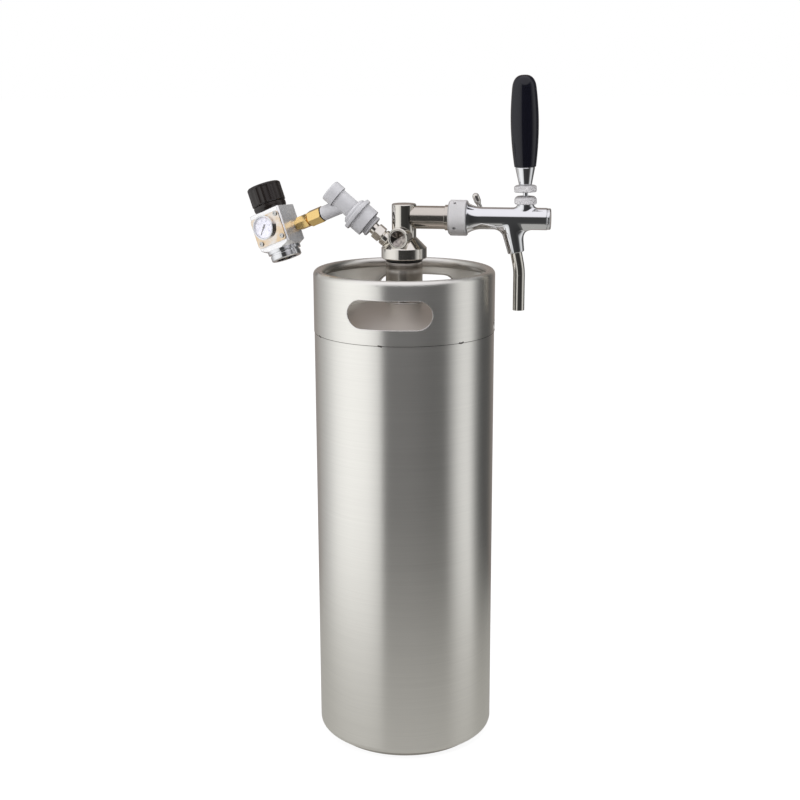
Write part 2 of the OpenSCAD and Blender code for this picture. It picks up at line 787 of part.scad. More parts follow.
module post_outline() {
    r = post_collar_d / 2;
    neck = post_neck_d / 2;
    polygon([[0, post_root + 0.2], [post_thread_r, post_root + 0.2],
        [post_thread_r, post_start], [r - 0.8, post_start], [r, post_start + 0.8],
        [r, post_start + post_collar_len - 0.8], [r - 0.8, post_start + post_collar_len],
        [neck, post_start + post_collar_len], [neck, post_barrel - 1.2],
        [post_barrel_r, post_barrel], [post_barrel_r, post_groove],
        [post_groove_r, post_groove + 0.6],
        [post_groove_r, post_groove + post_groove_len - 0.6],
        [post_barrel_r, post_groove + post_groove_len],
        [post_barrel_r, post_ring - post_ring_t / 2 - 0.2],
        [post_barrel_r - 1.6, post_ring - post_ring_t / 2 - 0.2],
        [post_barrel_r - 1.6, post_ring + post_ring_t / 2 + 0.2],
        [post_barrel_r, post_ring + post_ring_t / 2 + 0.2],
        [post_barrel_r, post_top - 1], [post_barrel_r - 1, post_top], [0, post_top]]);
}

module post_o_ring() color(black_rubber) at_post() translate([0, 0, post_ring])
    rotate_extrude() translate([post_barrel_r - 1.5 + post_ring_t / 2, 0])
        circle(d = post_ring_t - 0.2);

module post_poppet() color(brass) at_post() {
    top = post_top - post_lip - move_gap;
    rotate_extrude() polygon([[0, top - 6], [1.6, top - 6], [1.6, top - poppet_head],
        [3.4, top - poppet_head], [3.4, top - 0.5], [2.9, top], [1.4, top],
        [1.4, post_top - 0.5], [0, post_top - 0.5]]);
}

module post_spring() color(satin) at_post() translate([0, 0, post_chamber + 0.1])
    coil_spring(2.8, 0.35, post_top - post_lip - move_gap - poppet_head - 0.2 - post_chamber, 7);

// Gas disconnect

module disconnect_insert() color(grey_plastic) at_disconnect()
    translate([0, 0, insert_start]) rotate_extrude()
        polygon([[sleeve_in_r, 0], [insert_r - 0.6, 0], [insert_r, 0.6], [insert_r, insert_t],
            [sleeve_in_r, insert_t]]);

module disconnect_body() color(grey_plastic) difference() {
    union() {
        at_disconnect() {
            translate([0, 0, sleeve_start])
                cylinder(r = sleeve_r, h = sleeve_top - sleeve_start);
            translate([0, 0, sleeve_top]) cylinder(r = body_flange_r, h = body_flange_t);
            translate([0, 0, sleeve_top]) cylinder(r = stem_r, h = stem_top - sleeve_top);
        }
        at_outlet() cylinder(r = outlet_r, h = outlet_reach);
        at_outlet() translate([0, 0, outlet_reach])
            cylinder(r = flare_r, h = flare_end - 2.2 - outlet_reach);
        at_outlet() translate([0, 0, flare_end - 2.2])
            cylinder(r1 = flare_r, r2 = flare_r - 1.6, h = 2);
    }
    at_disconnect() {
        translate([0, 0, sleeve_start - cut])
            cylinder(r = sleeve_in_r, h = sleeve_floor - sleeve_start + cut);
        cylinder(r = pin_r + 0.1, h = stem_top);
        translate([0, 0, sleeve_top + 1]) cylinder(r = stem_chamber_r, h = stem_top);
        for (turn = [0, 90, 180, 270])
            rotate([0, 0, turn]) translate([0, 0, ball_at]) rotate([0, 90, 0])
                cylinder(r = ball_r + 0.1, h = stem_d);
    }
    at_outlet() cylinder(r = outlet_bore_r, h = flare_end);
}

module disconnect_cap() color(grey_plastic) {
    difference() {
        at_disconnect() translate([0, 0, stem_top + screw_gap]) rotate_extrude() {
            r = cap_d / 2;
            soft = 1.6;
            square([r, cap_h - soft]);
            square([r - soft, cap_h]);
            translate([r - soft, cap_h - soft]) circle(soft);
        }
        at_outlet() cylinder(r = outlet_r + screw_gap, h = outlet_reach);
    }
    at_disconnect() translate([0, 0, stem_top + screw_gap - cap_spigot])
        cylinder(r = stem_chamber_r - screw_gap, h = cap_spigot + 1);
}

module disconnect_collar() color(grey_plastic) at_disconnect() rotate_extrude() difference() {
    union() {
        translate([0, collar_start]) square([collar_outer_r, collar_flange - collar_start]);
        translate([0, collar_flange + 0.8])
            square([flange_d / 2, collar_flange_t - 1.6]);
        translate([0, collar_flange]) square([flange_d / 2 - 0.8, collar_flange_t]);
        for (up = [0.8, collar_flange_t - 0.8])
            translate([flange_d / 2 - 0.8, collar_flange + up]) circle(0.8);
        polygon([[0, collar_flange + collar_flange_t],
            [collar_step_r, collar_flange + collar_flange_t],
            [collar_step_r, sleeve_top + body_flange_t + 1.2],
            [stem_r + 1.1, collar_top], [0, collar_top]]);
    }
    translate([0, collar_start - cut]) square([collar_cavity_r, collar_travel - 0.4 + cut]);
    translate([0, collar_start]) square([collar_grip_r, collar_top]);
    translate([0, collar_shoulder])
        square([collar_cavity_r, sleeve_top + body_flange_t + move_gap - collar_shoulder]);
}

module disconnect_pin() color(satin) at_disconnect() rotate_extrude()
    polygon([[0, post_top - 0.1], [pin_r, post_top - 0.1], [pin_r, pin_flange],
        [stem_chamber_r - 0.6, pin_flange], [stem_chamber_r - 0.6, pin_flange + 2],
        [pin_r, pin_flange + 2], [pin_r, stem_top - 8], [0, stem_top - 8]]);

module pin_spring() color(satin) at_disconnect() translate([0, 0, pin_flange + 2.1])
    coil_spring(2.7, 0.35, stem_top - cap_spigot - 0.2 - pin_flange - 2, 6);

module lock_balls() color(polished) at_disconnect()
    for (turn = [0, 90, 180, 270])
        rotate([0, 0, turn]) translate([ball_ring_r, 0, ball_at]) sphere(r = ball_r);

module collar_spring() color(satin) at_disconnect()
    translate([0, 0, collar_shoulder + screw_gap])
        coil_spring((sleeve_r + collar_cavity_r) / 2, 0.5,
            sleeve_top - collar_shoulder - 2 * screw_gap, 4, 16);

// Brass joint

module flare_washer() color(black_rubber) at_outlet()
    translate([0, 0, outlet_reach + screw_gap]) tube(outlet_r - 0.2, flare_r + 0.1, washer_t);

module swivel_nut() color(brass) at_outlet() difference() {
    translate([0, 0, nut_foot]) hex_bar(swivel_w, swivel_len);
    translate([0, 0, nut_foot - cut])
        cylinder(r = flare_r + move_gap, h = swivel_len - nut_lip + cut);
    translate([0, 0, nut_foot]) cylinder(r = fitting_throat_r + move_gap, h = swivel_len + cut);
}

module outlet_fitting() color(brass) at_outlet() rotate([0, 0, regulator_roll]) difference() {
    union() {
        rotate_extrude() {
            foot = flare_end + 0.1;
            shoulder = fitting_hex + fitting_len;
            end = shoulder + fitting_neck;
            polygon([[0, foot], [flare_r, foot], [flare_r, foot + fitting_head_t],
                [fitting_throat_r, foot + fitting_head_t], [fitting_throat_r, fitting_hex + 0.5],
                [fitting_thread_r + 0.4, fitting_hex + 0.5], [fitting_thread_r + 0.4, end - screw_gap],
                [fitting_thread_r, end - screw_gap], [fitting_thread_r, end + fitting_thread],
                [0, end + fitting_thread]]);
        }
        translate([0, 0, fitting_hex]) hex_bar(fitting_w, fitting_len);
    }
    cylinder(r = fitting_bore_r, h = regulator_reach + 2 * fitting_thread);
}

// Regulator

module regulator_body() color(alloy) at_regulator() difference() {
    intersection() {
        linear_extrude(block_h) rounded_rect(block_w, block_d, block_corner_r);
        rotate_extrude() polygon([[0, 0], [foot_collar_r, 0],
            [foot_collar_r + block_w / 4, block_taper * (block_w / 4) / 7],
            [foot_collar_r + block_w / 4, block_h], [0, block_h]]);
    }
    translate([0, 0, -cut]) cylinder(r = spigot_r + screw_gap, h = spigot_h + cut);
    cylinder(r = valve_bore_r, h = block_h);
    translate([0, 0, chamber_z]) cylinder(r = chamber_r, h = block_h);
    translate([block_w / 2 - fitting_thread - 1, port_back, port_up]) rotate([0, 90, 0])
        cylinder(r = fitting_thread_r + screw_gap, h = block_w);
    translate([3, port_back, port_up]) rotate([0, 90, 0]) cylinder(r = 1.5, h = block_w / 2);
    translate([3, port_back, port_up]) cylinder(r = 1.5, h = chamber_z - port_up + cut);
    translate([gauge_x, -block_d / 2 + 8, gauge_z]) rotate([90, 0, 0])
        cylinder(r = gauge_stem_r + screw_gap, h = block_d);
    translate([gauge_x, 0, gauge_z]) rotate([90, 0, 0]) cylinder(r = 1.5, h = block_d / 2);
    for (at = plate_screws_at)
        translate([at[0], -block_d / 2 + 5, at[1]]) rotate([90, 0, 0])
            cylinder(r = plate_screw_r + screw_gap, h = block_d);
}

module gauge_plate() color(polished) on_face(face_y)
    linear_extrude(face_plate_t) difference() {
        translate(face_plate_at) rounded_rect(face_plate[0], face_plate[1], face_corner_r);
        translate([gauge_x, gauge_z]) circle(gauge_stem_r + screw_gap);
        for (at = plate_screws_at)
            translate(at) circle(plate_screw_r + screw_gap);
    }

module plate_screws() color(satin) on_face(face_y + 4.6)
    for (at = plate_screws_at) translate([at[0], at[1], 0]) difference() {
        union() {
            cylinder(r = plate_screw_r, h = 4.7 + face_plate_t);
            translate([0, 0, 4.7 + face_plate_t]) chamfered(2.4, 1.1, 0.3);
        }
        translate([0, 0, 5.2 + face_plate_t]) cylinder(r = 1.2, h = 2, $fn = 6);
    }

module gauge_case() color(chrome) on_face(gauge_y) translate([gauge_x, gauge_z, 0]) {
    rotate_extrude() {
        square([gauge_r - 0.4, gauge_back]);
        translate([gauge_r - gauge_rim, 0]) square([gauge_rim - 0.4, gauge_t]);
        translate([gauge_r - gauge_rim, 0.4]) square([gauge_rim, gauge_t - 0.8]);
    }
    translate([0, 0, -8.5]) cylinder(r = gauge_stem_r, h = 8.5 + gauge_back / 2);
}

module gauge_dial() color([0.88, 0.88, 0.95]) on_face(gauge_y - gauge_back - 0.05)
    translate([gauge_x, gauge_z, 0]) difference() {
        cylinder(r = dial_r, h = 0.4);
        translate([0, 0, -cut]) cylinder(r = 0.6, h = 3);
    }

module gauge_needle() color(black_plastic)
    on_face(gauge_y - gauge_back - 0.05 - 0.4 - 0.35) translate([gauge_x, gauge_z, 0]) {
        linear_extrude(0.3) rotate([0, 0, 135]) polygon([[0, -dial_r * 0.35], [0.9, -dial_r * 0.3],
            [0.35, 0], [0.35, dial_r * 0.45], [0, dial_r * 0.82], [-0.35, dial_r * 0.45],
            [-0.35, 0], [-0.9, -dial_r * 0.3]]);
        cylinder(r = 1.1, h = 0.5);
        translate([0, 0, -0.75]) cylinder(r = 0.45, h = 0.95);
    }

module gauge_lens() color([0.9, 0.95, 1, 0.3])
    on_face(gauge_y - gauge_t + 0.6) translate([gauge_x, gauge_z, 0]) cylinder(r = dial_r, h = 0.4);

module bonnet_ring() color(black_plastic) at_regulator()
    translate([0, 0, block_h + screw_gap]) rotate_extrude()
        polygon([[housing_r + screw_gap, 0], [bonnet_foot_r, 0], [bonnet_r, bonnet_h * 0.5],
            [bonnet_r, bonnet_h - 0.4], [bonnet_r - 0.4, bonnet_h],
            [housing_r + screw_gap, bonnet_h]]);

module spring_housing() color(alloy) at_regulator() translate([0, 0, block_h + screw_gap])
    rotate_extrude() polygon([[housing_r - housing_wall, 0], [housing_r, 0],
        [housing_r, housing_h - 1], [housing_r - 1, housing_h],
        [screw_r + run_gap, housing_h], [screw_r + run_gap, housing_h - housing_roof],
        [housing_r - housing_wall, housing_h - housing_roof]]);

module diaphragm() color(black_rubber) at_regulator() translate([0, 0, diaphragm_z])
    cylinder(r = chamber_r - 0.1, h = diaphragm_t);

module adjust_spring() color(satin) at_regulator()
    translate([0, 0, diaphragm_z + diaphragm_t + 0.1])
        coil_spring(7, 0.9, plate_z - diaphragm_z - diaphragm_t - 0.2, 5);

module spring_plate() color(brass) at_regulator() translate([0, 0, plate_z])
    chamfered(housing_r - housing_wall - 0.8, plate_t, 0.3);

module adjust_screw() color(brass) at_regulator() translate([0, 0, screw_foot_z])
    cylinder(r = screw_r, h = knob_z + knob_h - 1 - screw_foot_z);

module adjust_knob() color(black_plastic) at_regulator() translate([0, 0, knob_z]) difference() {
    chamfered(knob_r, knob_h, 1.2);
    translate([0, 0, -cut]) cylinder(r = knob_cup_r, h = knob_h - knob_roof + cut);
    cylinder(r = screw_r + weld_gap, h = knob_h - 0.8);
    for (i = [0:knob_flutes - 1])
        rotate([0, 0, 360 * i / knob_flutes]) translate([knob_r + 7.4, 0, 1.5])
            cylinder(r = 8, h = knob_h - 4);
}

module inlet_adapter() color(chrome) at_regulator() rotate_extrude() {
    collar_foot = -screw_gap - adapter_collar_h;
    ring_top = collar_foot - adapter_groove_h;
    foot = -screw_gap - adapter_h;
    polygon([[inlet_r, foot], [adapter_ring_r - 0.8, foot], [adapter_ring_r, foot + 0.8],
        [adapter_ring_r, ring_top], [adapter_neck_r, ring_top], [adapter_neck_r, collar_foot],
        [foot_collar_r, collar_foot], [foot_collar_r, -screw_gap], [spigot_r, -screw_gap],
        [spigot_r, spigot_h - screw_gap], [valve_bore_r, spigot_h - screw_gap],
        [valve_bore_r, foot + inlet_len + seat_depth], [inlet_seat_r, foot + inlet_len + seat_depth],
        [inlet_seat_r, foot + inlet_len], [inlet_r, foot + inlet_len]]);
}

module inlet_seal() color(black_rubber) at_regulator()
    translate([0, 0, inlet_len - adapter_h - screw_gap + 0.05])
        tube(inlet_seat_r - weld_gap, valve_bore_r + 1, seat_depth - 0.1);

module inlet_pin() color(brass) at_regulator()
    translate([0, 0, inlet_pin_foot]) rotate_extrude() {
        square([1.4, inlet_pin_len]);
        translate([0, 3]) square([valve_bore_r - run_gap, 3]);
    }

// Tap

module shank() color(polished) difference() {
    along_arm() rotate_extrude() {
        bore = beer_bore_d / 2;
        translate([bore, 0]) square([shank_r - bore, shank_face]);
        translate([bore, nut_start - shank_ring_t - move_gap])
            square([shank_ring_r - bore, shank_ring_t]);
        translate([bore, nut_start + nut_lip_t + move_gap]) square([shank_flange_r - bore, 3]);
    }
    difference() {
        translate([0, 0, arm_z - keg_d]) cylinder(r = column_r + weld_gap, h = 2 * keg_d);
        along_arm() translate([0, 0, shank_socket_x + weld_gap])
            cylinder(r = shank_socket_r, h = keg_d);
    }
}

module coupling_washer() color(black_rubber) along_arm()
    translate([0, 0, shank_face + screw_gap])
        tube(shank_flange_r, beer_bore_d / 2 + 0.6, seal_disc_t);

module coupling_nut() color(satin) along_arm() difference() {
    translate([0, 0, nut_start]) rotate_extrude()
        polygon([[shank_r + move_gap, 0], [nut_r - 1.8, 0], [nut_r, 1.8],
            [nut_r, nut_len - 0.8], [nut_r - 0.8, nut_len], [tail_r + move_gap, nut_len],
            [tail_r + move_gap, nut_lip_t], [shank_r + move_gap, nut_lip_t]]);
    for (turn = [30, 120, 210, 300])
        rotate([0, 0, turn]) translate([nut_r - 2, 0, nut_start + 6.6]) rotate([0, 90, 0])
            cylinder(r = 1.5, h = 4);
}

module faucet_body() color(chrome) difference() {
    union() {
        along_arm() rotate_extrude() {
            translate([0, tail_start]) square([tail_r, nut_end - tail_start]);
            difference() {
                translate([0, nut_end + move_gap])
                    square([shoulder_d / 2, tap_end - nut_end - move_gap]);
                translate([tap_r, nut_end + move_gap + flare_len])
                    square([shoulder_d, tap_end]);
                translate([tap_r + flare_arc_r, nut_end + move_gap + flare_len])
                    circle(flare_arc_r, $fn = 180);
            }
            translate([0, nut_end]) square([tail_r, move_gap]);
        }
        translate([lever_x, 0, arm_z]) cylinder(r = tap_neck_r, h = ball_up + 1);
        translate([lever_x, 0, arm_z + tap_r - 2])
            cylinder(r1 = tap_neck_r + 2.6, r2 = tap_neck_r, h = 3.4);
        at_spout() rotate_extrude()
            polygon([[0, 0], [spout_boss_root_r, 0], [spout_boss_root_r, tap_r + 2],
                [spout_boss_r, spout_boss_len], [0, spout_boss_len]]);
        spout_fillet();
        translate([flow_x, 0, arm_z]) rotate([-90, 0, 0])
            cylinder(r = flow_boss_r, h = flow_boss_y);
    }
    along_arm() rotate_extrude()
        polygon([[0, tail_start - cut], [throat_r, tail_start - cut], [throat_r, throat_x],
            [rear_bore_r, throat_end_x], [rear_bore_r, seat_x], [0, seat_x]]);
    along_arm() cylinder(r = seat_r, h = seat_x + seat_t + cut);
    along_arm() translate([0, 0, seat_x + seat_t]) cylinder(r = front_bore_r, h = keg_d);
    at_spout() cylinder(r = spout_port_r, h = spout_boss_len);
    at_spout() translate([0, 0, spout_socket])
        cylinder(r = spout_r + weld_gap, h = spout_boss_len);
    translate([lever_x, 0, arm_z + ball_up - 5.7]) cylinder(r = tap_neck_bore_r, h = ball_up);
    lever_slot();
    translate([flow_x, 0, arm_z]) rotate([-90, 0, 0])
        cylinder(r = flow_shaft_r + run_gap, h = 2 * flow_boss_y);
}

// Hollow flare where the spout's boss leaves the body, fading out towards the sides
module spout_fillet() intersection() {
    at_spout() rotate_extrude() difference() {
        square([spout_boss_root_r + spout_fillet_r, tap_r + spout_fillet_r]);
        translate([spout_boss_root_r + spout_fillet_r - 0.15, tap_r + spout_fillet_r])
            circle(spout_fillet_r);
    }
    translate([0, 0, -tap_r / 2]) along_arm() cylinder(r = tap_r - 0.15, h = tap_end);
}

// Slot through the body's top in which the lever's rod swings
module lever_slot() translate([lever_x, 2.4, arm_z]) rotate([90, 0, 0]) linear_extrude(4.8)
    polygon([[-slot_back, 3], [2.6, 3], [2.6, tap_r + 1], [2 - slot_back, tap_r + 1]]);

module end_cap() color(chrome) along_arm() translate([0, 0, tap_end + screw_gap]) difference() {
    rotate_extrude() {
        r = tap_r - 0.4;
        polygon([[0, 0], [r, 0], [r, end_cap_t - 0.7], [r - 0.7, end_cap_t], [0, end_cap_t]]);
        translate([0, -cap_guide]) square([front_bore_r - 0.1, cap_guide]);
    }
    translate([0, 0, -cap_guide - cut])
        cylinder(r = shaft_r + 0.08, h = cap_guide + end_cap_t / 2 + cut);
}

module tap_seals() color(black_rubber) {
    along_arm() translate([0, 0, shaft_seal_x])
        tube(front_bore_r - run_gap, shaft_r + 0.08, shaft_seal_t);
    translate([lever_x, 0, arm_z + ball_up - 5.6]) tube(tap_neck_bore_r - 0.1, 4.5, 1.2);
}

module spout_tube() color(polished) difference() {
    spout_rod(spout_r, spout_r - 0.02, 0);
    spout_rod(spout_r - spout_wall, spout_r - spout_wall + 0.02, cut);
}

// The spout's course as a solid rod, its ends longer by over
module spout_rod(r, bend_r, over) {
    at_spout() translate([0, 0, spout_socket + 0.2 - over])
        cylinder(r = r, h = spout_straight - spout_socket + over + 0.2);
    at_spout() translate([spout_bend_r, 0, spout_straight]) rotate([90, 0, 0])
        rotate([0, 0, 180 - spout_lean]) rotate_extrude(angle = spout_lean)
            translate([spout_bend_r, 0]) circle(bend_r);
    translate([spout_end_x(), 0, spout_end_z() - spout_end_len - over])
        cylinder(r = r, h = spout_end_len + over + 0.4);
}

// Where the spout's bend ends and its upright end begins
function spout_end_x() = spout_x + spout_straight * sin(spout_lean)
    + spout_bend_r * (1 - cos(spout_lean));
function spout_end_z() = arm_z - spout_straight * cos(spout_lean)
    - spout_bend_r * sin(spout_lean);

module bonnet_nut() color(satin) translate([lever_x, 0, arm_z + bonnet_foot_up])
    rotate_extrude() {
        r = bonnet_nut_d / 2;
        h = bonnet_top_up - bonnet_foot_up;
        pivot = ball_up - bonnet_foot_up;
        polygon([[tap_neck_r + screw_gap, 0], [r - 0.6, 0], [r, 0.6], [r, h - 2.6],
            [r - 0.8, h - 1.2], [r - 2.3, h], [5.9, h], [4.85, pivot + 4], [6.3, pivot + 2.6],
            [6.3, pivot + 1 + screw_gap], [tap_neck_r + screw_gap, pivot + 1 + screw_gap]]);
    }

module plunger() color(polished) difference() {
    along_arm() rotate_extrude() {
        translate([0, seat_x - 5.5]) square([4.2, 2.2]);
        translate([0, seat_x - 5.5]) square([shaft_r, tap_end - 1.9 - seat_x + 5.5]);
    }
    translate([tip_x, 4, arm_z]) rotate([90, 0, 0]) linear_extrude(8)
        polygon([[-tip_r - 0.35, -0.8], [tip_r + 0.35, -0.8], [tip_r + 0.35, 1.2],
            [3.4, shaft_r + 1], [-tip_r - 0.35, shaft_r + 1]]);
}

module plunger_seal() color(black_rubber) along_arm() translate([0, 0, seat_x - 3.2])
    tube(5.8, shaft_r + weld_gap, 2.9);

module tap_lever() color(chrome) at_lever() {
    difference() {
        sphere(r = lever_ball_r);
        for (side = [-90, 90])
            rotate([side, 0, 0]) translate([0, 0, lever_ball_r - 1.6]) cylinder(r = 0.9, h = 3);
    }
    cylinder(r = stem_rod_r, h = ferrule_up + 8);
    translate([0, 0, -tip_down]) cylinder(r = tip_r - 0.2, h = tip_down);
    translate([0, 0, -tip_down]) sphere(r = tip_r);
}

module lock_nut() color(satin) at_lever() translate([0, 0, lock_nut_up]) rotate_extrude() {
    r = lock_nut_d / 2;
    polygon([[stem_rod_r + weld_gap, 0], [r - 0.7, 0], [r, 0.7], [r, lock_nut_h - 1.6],
        [r - 1.4, lock_nut_h - 0.4], [r - 3.2, lock_nut_h], [stem_rod_r + weld_gap, lock_nut_h]]);
}

module handle_ferrule() color(chrome) at_lever() translate([0, 0, ferrule_up])
    rotate_extrude() {
        top_r = ferrule_top_d / 2;
        bore = stem_rod_r + weld_gap;
        polygon([[bore, 0], [ferrule_foot_r - 0.4, 0], [ferrule_foot_r, 0.4],
            [top_r, ferrule_h - 1], [top_r - 0.3, ferrule_h], [handle_spigot_r, ferrule_h],
            [handle_spigot_r, ferrule_h + handle_spigot], [0, ferrule_h + handle_spigot],
            [0, 9], [bore, 9]]);
    }

module tap_handle() color(black_plastic) at_lever() translate([0, 0, handle_up])
    rotate_extrude() difference() {
        foot_r = handle_foot_d / 2;
        bulge = handle_d / 2 - foot_r;
        half = (handle_h - handle_round) / 2;
        arc_r = (pow(half, 2) + pow(bulge, 2)) / (2 * bulge);
        intersection() {
            translate([handle_d / 2 - arc_r, half]) circle(arc_r, $fn = 360);
            square([handle_d, handle_h]);
            union() {
                square([handle_d / 2 + cut, handle_h - handle_round]);
                square([foot_r - handle_round, handle_h]);
                translate([foot_r - handle_round, handle_h - handle_round])
                    circle(handle_round);
            }
        }
        translate([0, -cut])
            square([handle_spigot_r + weld_gap, handle_spigot + 1.5 * cut]);
    }

// Flow control

module flow_lever() color(chrome) at_flow() {
    y = flow_boss_y + move_gap;
    hub_t = 5;
    translate([0, y, 0]) rotate([-90, 0, 0]) chamfered(flow_hub_r, hub_t, 0.6);
    translate([0, flow_tip_y, 0]) rotate([-90, 0, 0])
        cylinder(r = flow_shaft_r, h = y - flow_tip_y + 1);
    translate([0, flow_tip_y - 2.5, flow_throw]) rotate([-90, 0, 0])
        cylinder(r = eccentric_r, h = 3);
    translate([0, y + hub_t / 2, 0]) rotate_extrude() {
        tip = flow_len - flow_lever_r;
        polygon([[0, 0], [flow_lever_r - 1.1, 0], [flow_lever_r - 1.1, tip - 8],
            [flow_lever_r, tip - 5], [flow_lever_r, tip], [0, tip]]);
        intersection() {
            translate([0, tip]) circle(flow_lever_r);
            translate([0, tip]) square(flow_lever_r + cut);
        }
    }
}

module compensator() color(grey_plastic) difference() {
    along_arm() rotate_extrude()
        polygon([[0, cone_x], [cone_nose_r, cone_x], [cone_r, pin_x - 3.5],
            [cone_r, pin_x + 3.5], [0, pin_x + 3.5]]);
    translate([pin_x - eccentric_r - 0.2, flow_tip_y - 2.9, arm_z - keg_r])
        cube([2 * eccentric_r + 0.4, cone_r, keg_d]);
}

keg_shell();
keg_top_dome();
keg_neck();
top_skirt();
foot_ring();
neck_o_ring();
head_body();
dip_tube();
dip_tube_seals();
relief_plug();
relief_poppet();
relief_spring();
gas_post();
post_poppet();
post_spring();
post_o_ring();
disconnect_insert();
disconnect_body();
disconnect_cap();
disconnect_collar();
disconnect_pin();
pin_spring();
lock_balls();
collar_spring();
flare_washer();
swivel_nut();
outlet_fitting();
regulator_body();
gauge_plate();
plate_screws();
gauge_case();
gauge_dial();
gauge_needle();
gauge_lens();
bonnet_ring();
spring_housing();
diaphragm();
adjust_spring();
spring_plate();
adjust_screw();
adjust_knob();
inlet_adapter();
inlet_seal();
inlet_pin();
shank();
coupling_washer();
coupling_nut();
faucet_body();
end_cap();
tap_seals();
spout_tube();
bonnet_nut();
plunger();
plunger_seal();
tap_lever();
lock_nut();
handle_ferrule();
tap_handle();
flow_lever();
compensator();
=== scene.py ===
"""Looks for the mini keg with its tap head, gas disconnect and small regulator.

Everything is in the CAD model's frame: origin at the centre of the keg's foot, +Z up, tap arm
along +X. Objects and shaders are in metres, and the lengths that shape a mesh in millimetres.
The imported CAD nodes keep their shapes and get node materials. A few nodes are replaced by pieces
with finer forms, and small printed and welded details are added.
"""

import json
import math

import bmesh
import bpy
import numpy as np
from mathutils import Matrix, Vector

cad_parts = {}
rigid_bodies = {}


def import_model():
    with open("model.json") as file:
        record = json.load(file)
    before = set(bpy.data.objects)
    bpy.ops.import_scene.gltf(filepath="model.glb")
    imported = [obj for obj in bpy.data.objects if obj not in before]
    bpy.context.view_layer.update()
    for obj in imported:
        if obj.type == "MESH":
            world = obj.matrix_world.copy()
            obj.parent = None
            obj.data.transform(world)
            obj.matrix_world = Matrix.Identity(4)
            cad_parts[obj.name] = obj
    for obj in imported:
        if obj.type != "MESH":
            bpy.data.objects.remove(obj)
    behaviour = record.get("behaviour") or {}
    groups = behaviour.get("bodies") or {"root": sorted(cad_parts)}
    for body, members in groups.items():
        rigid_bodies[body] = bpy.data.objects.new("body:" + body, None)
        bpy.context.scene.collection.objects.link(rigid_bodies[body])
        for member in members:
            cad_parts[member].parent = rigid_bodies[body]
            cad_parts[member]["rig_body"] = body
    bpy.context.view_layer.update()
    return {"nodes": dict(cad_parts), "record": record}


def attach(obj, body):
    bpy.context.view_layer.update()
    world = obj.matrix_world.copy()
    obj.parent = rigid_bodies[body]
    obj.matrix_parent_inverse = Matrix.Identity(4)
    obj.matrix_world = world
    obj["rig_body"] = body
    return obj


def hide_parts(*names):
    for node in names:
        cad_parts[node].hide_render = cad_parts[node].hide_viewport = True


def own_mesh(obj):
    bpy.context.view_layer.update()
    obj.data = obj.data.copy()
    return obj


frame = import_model()
bpy.context.scene.view_settings.view_transform = "Standard"
nodes = frame["nodes"]
MM = 0.001


def add_object(name, data):
    o = bpy.data.objects.new(name, data)
    bpy.context.collection.objects.link(o)
    return o


# ---------------------------------------------------------------- camera
IMAGE_PX, FOCAL_PX, SENSOR_MM = 800.0, 1392.0, 36.0
YAW, PITCH, ROLL = 10.0, 13.5, -0.214
CAMERA_SIDE, CAMERA_BACK, CAMERA_UP = -0.00453, 1.3459, 0.6700
# Compass direction from the object to the camera
CAMERA_AZ = math.radians(-80.2)
UP = Vector((0, 0, 1))


def make_camera():
    data = bpy.data.cameras.new("camera")
    cam = add_object("camera", data)
    data.sensor_width = SENSOR_MM
    data.lens = SENSOR_MM * FOCAL_PX / IMAGE_PX
    data.clip_start, data.clip_end = 0.05, 50.0
    yaw, pitch, roll = (math.radians(a) for a in (YAW, PITCH, ROLL))
    right = Vector((math.cos(yaw), math.sin(yaw), 0.0))
    level = Vector((-math.sin(yaw), math.cos(yaw), 0.0))
    ahead = level * math.cos(pitch) - UP * math.sin(pitch)
    up = level * math.sin(pitch) + UP * math.cos(pitch)
    x = right * math.cos(roll) + up * math.sin(roll)
    y = up * math.cos(roll) - right * math.sin(roll)
    place = right * CAMERA_SIDE - level * CAMERA_BACK + UP * CAMERA_UP
    columns = [x.to_4d(), y.to_4d(), (-ahead).to_4d(), place.to_4d()]
    for column, w in zip(columns, (0, 0, 0, 1)):
        column.w = w
    cam.matrix_world = Matrix(columns).transposed()
    bpy.context.scene.camera = cam


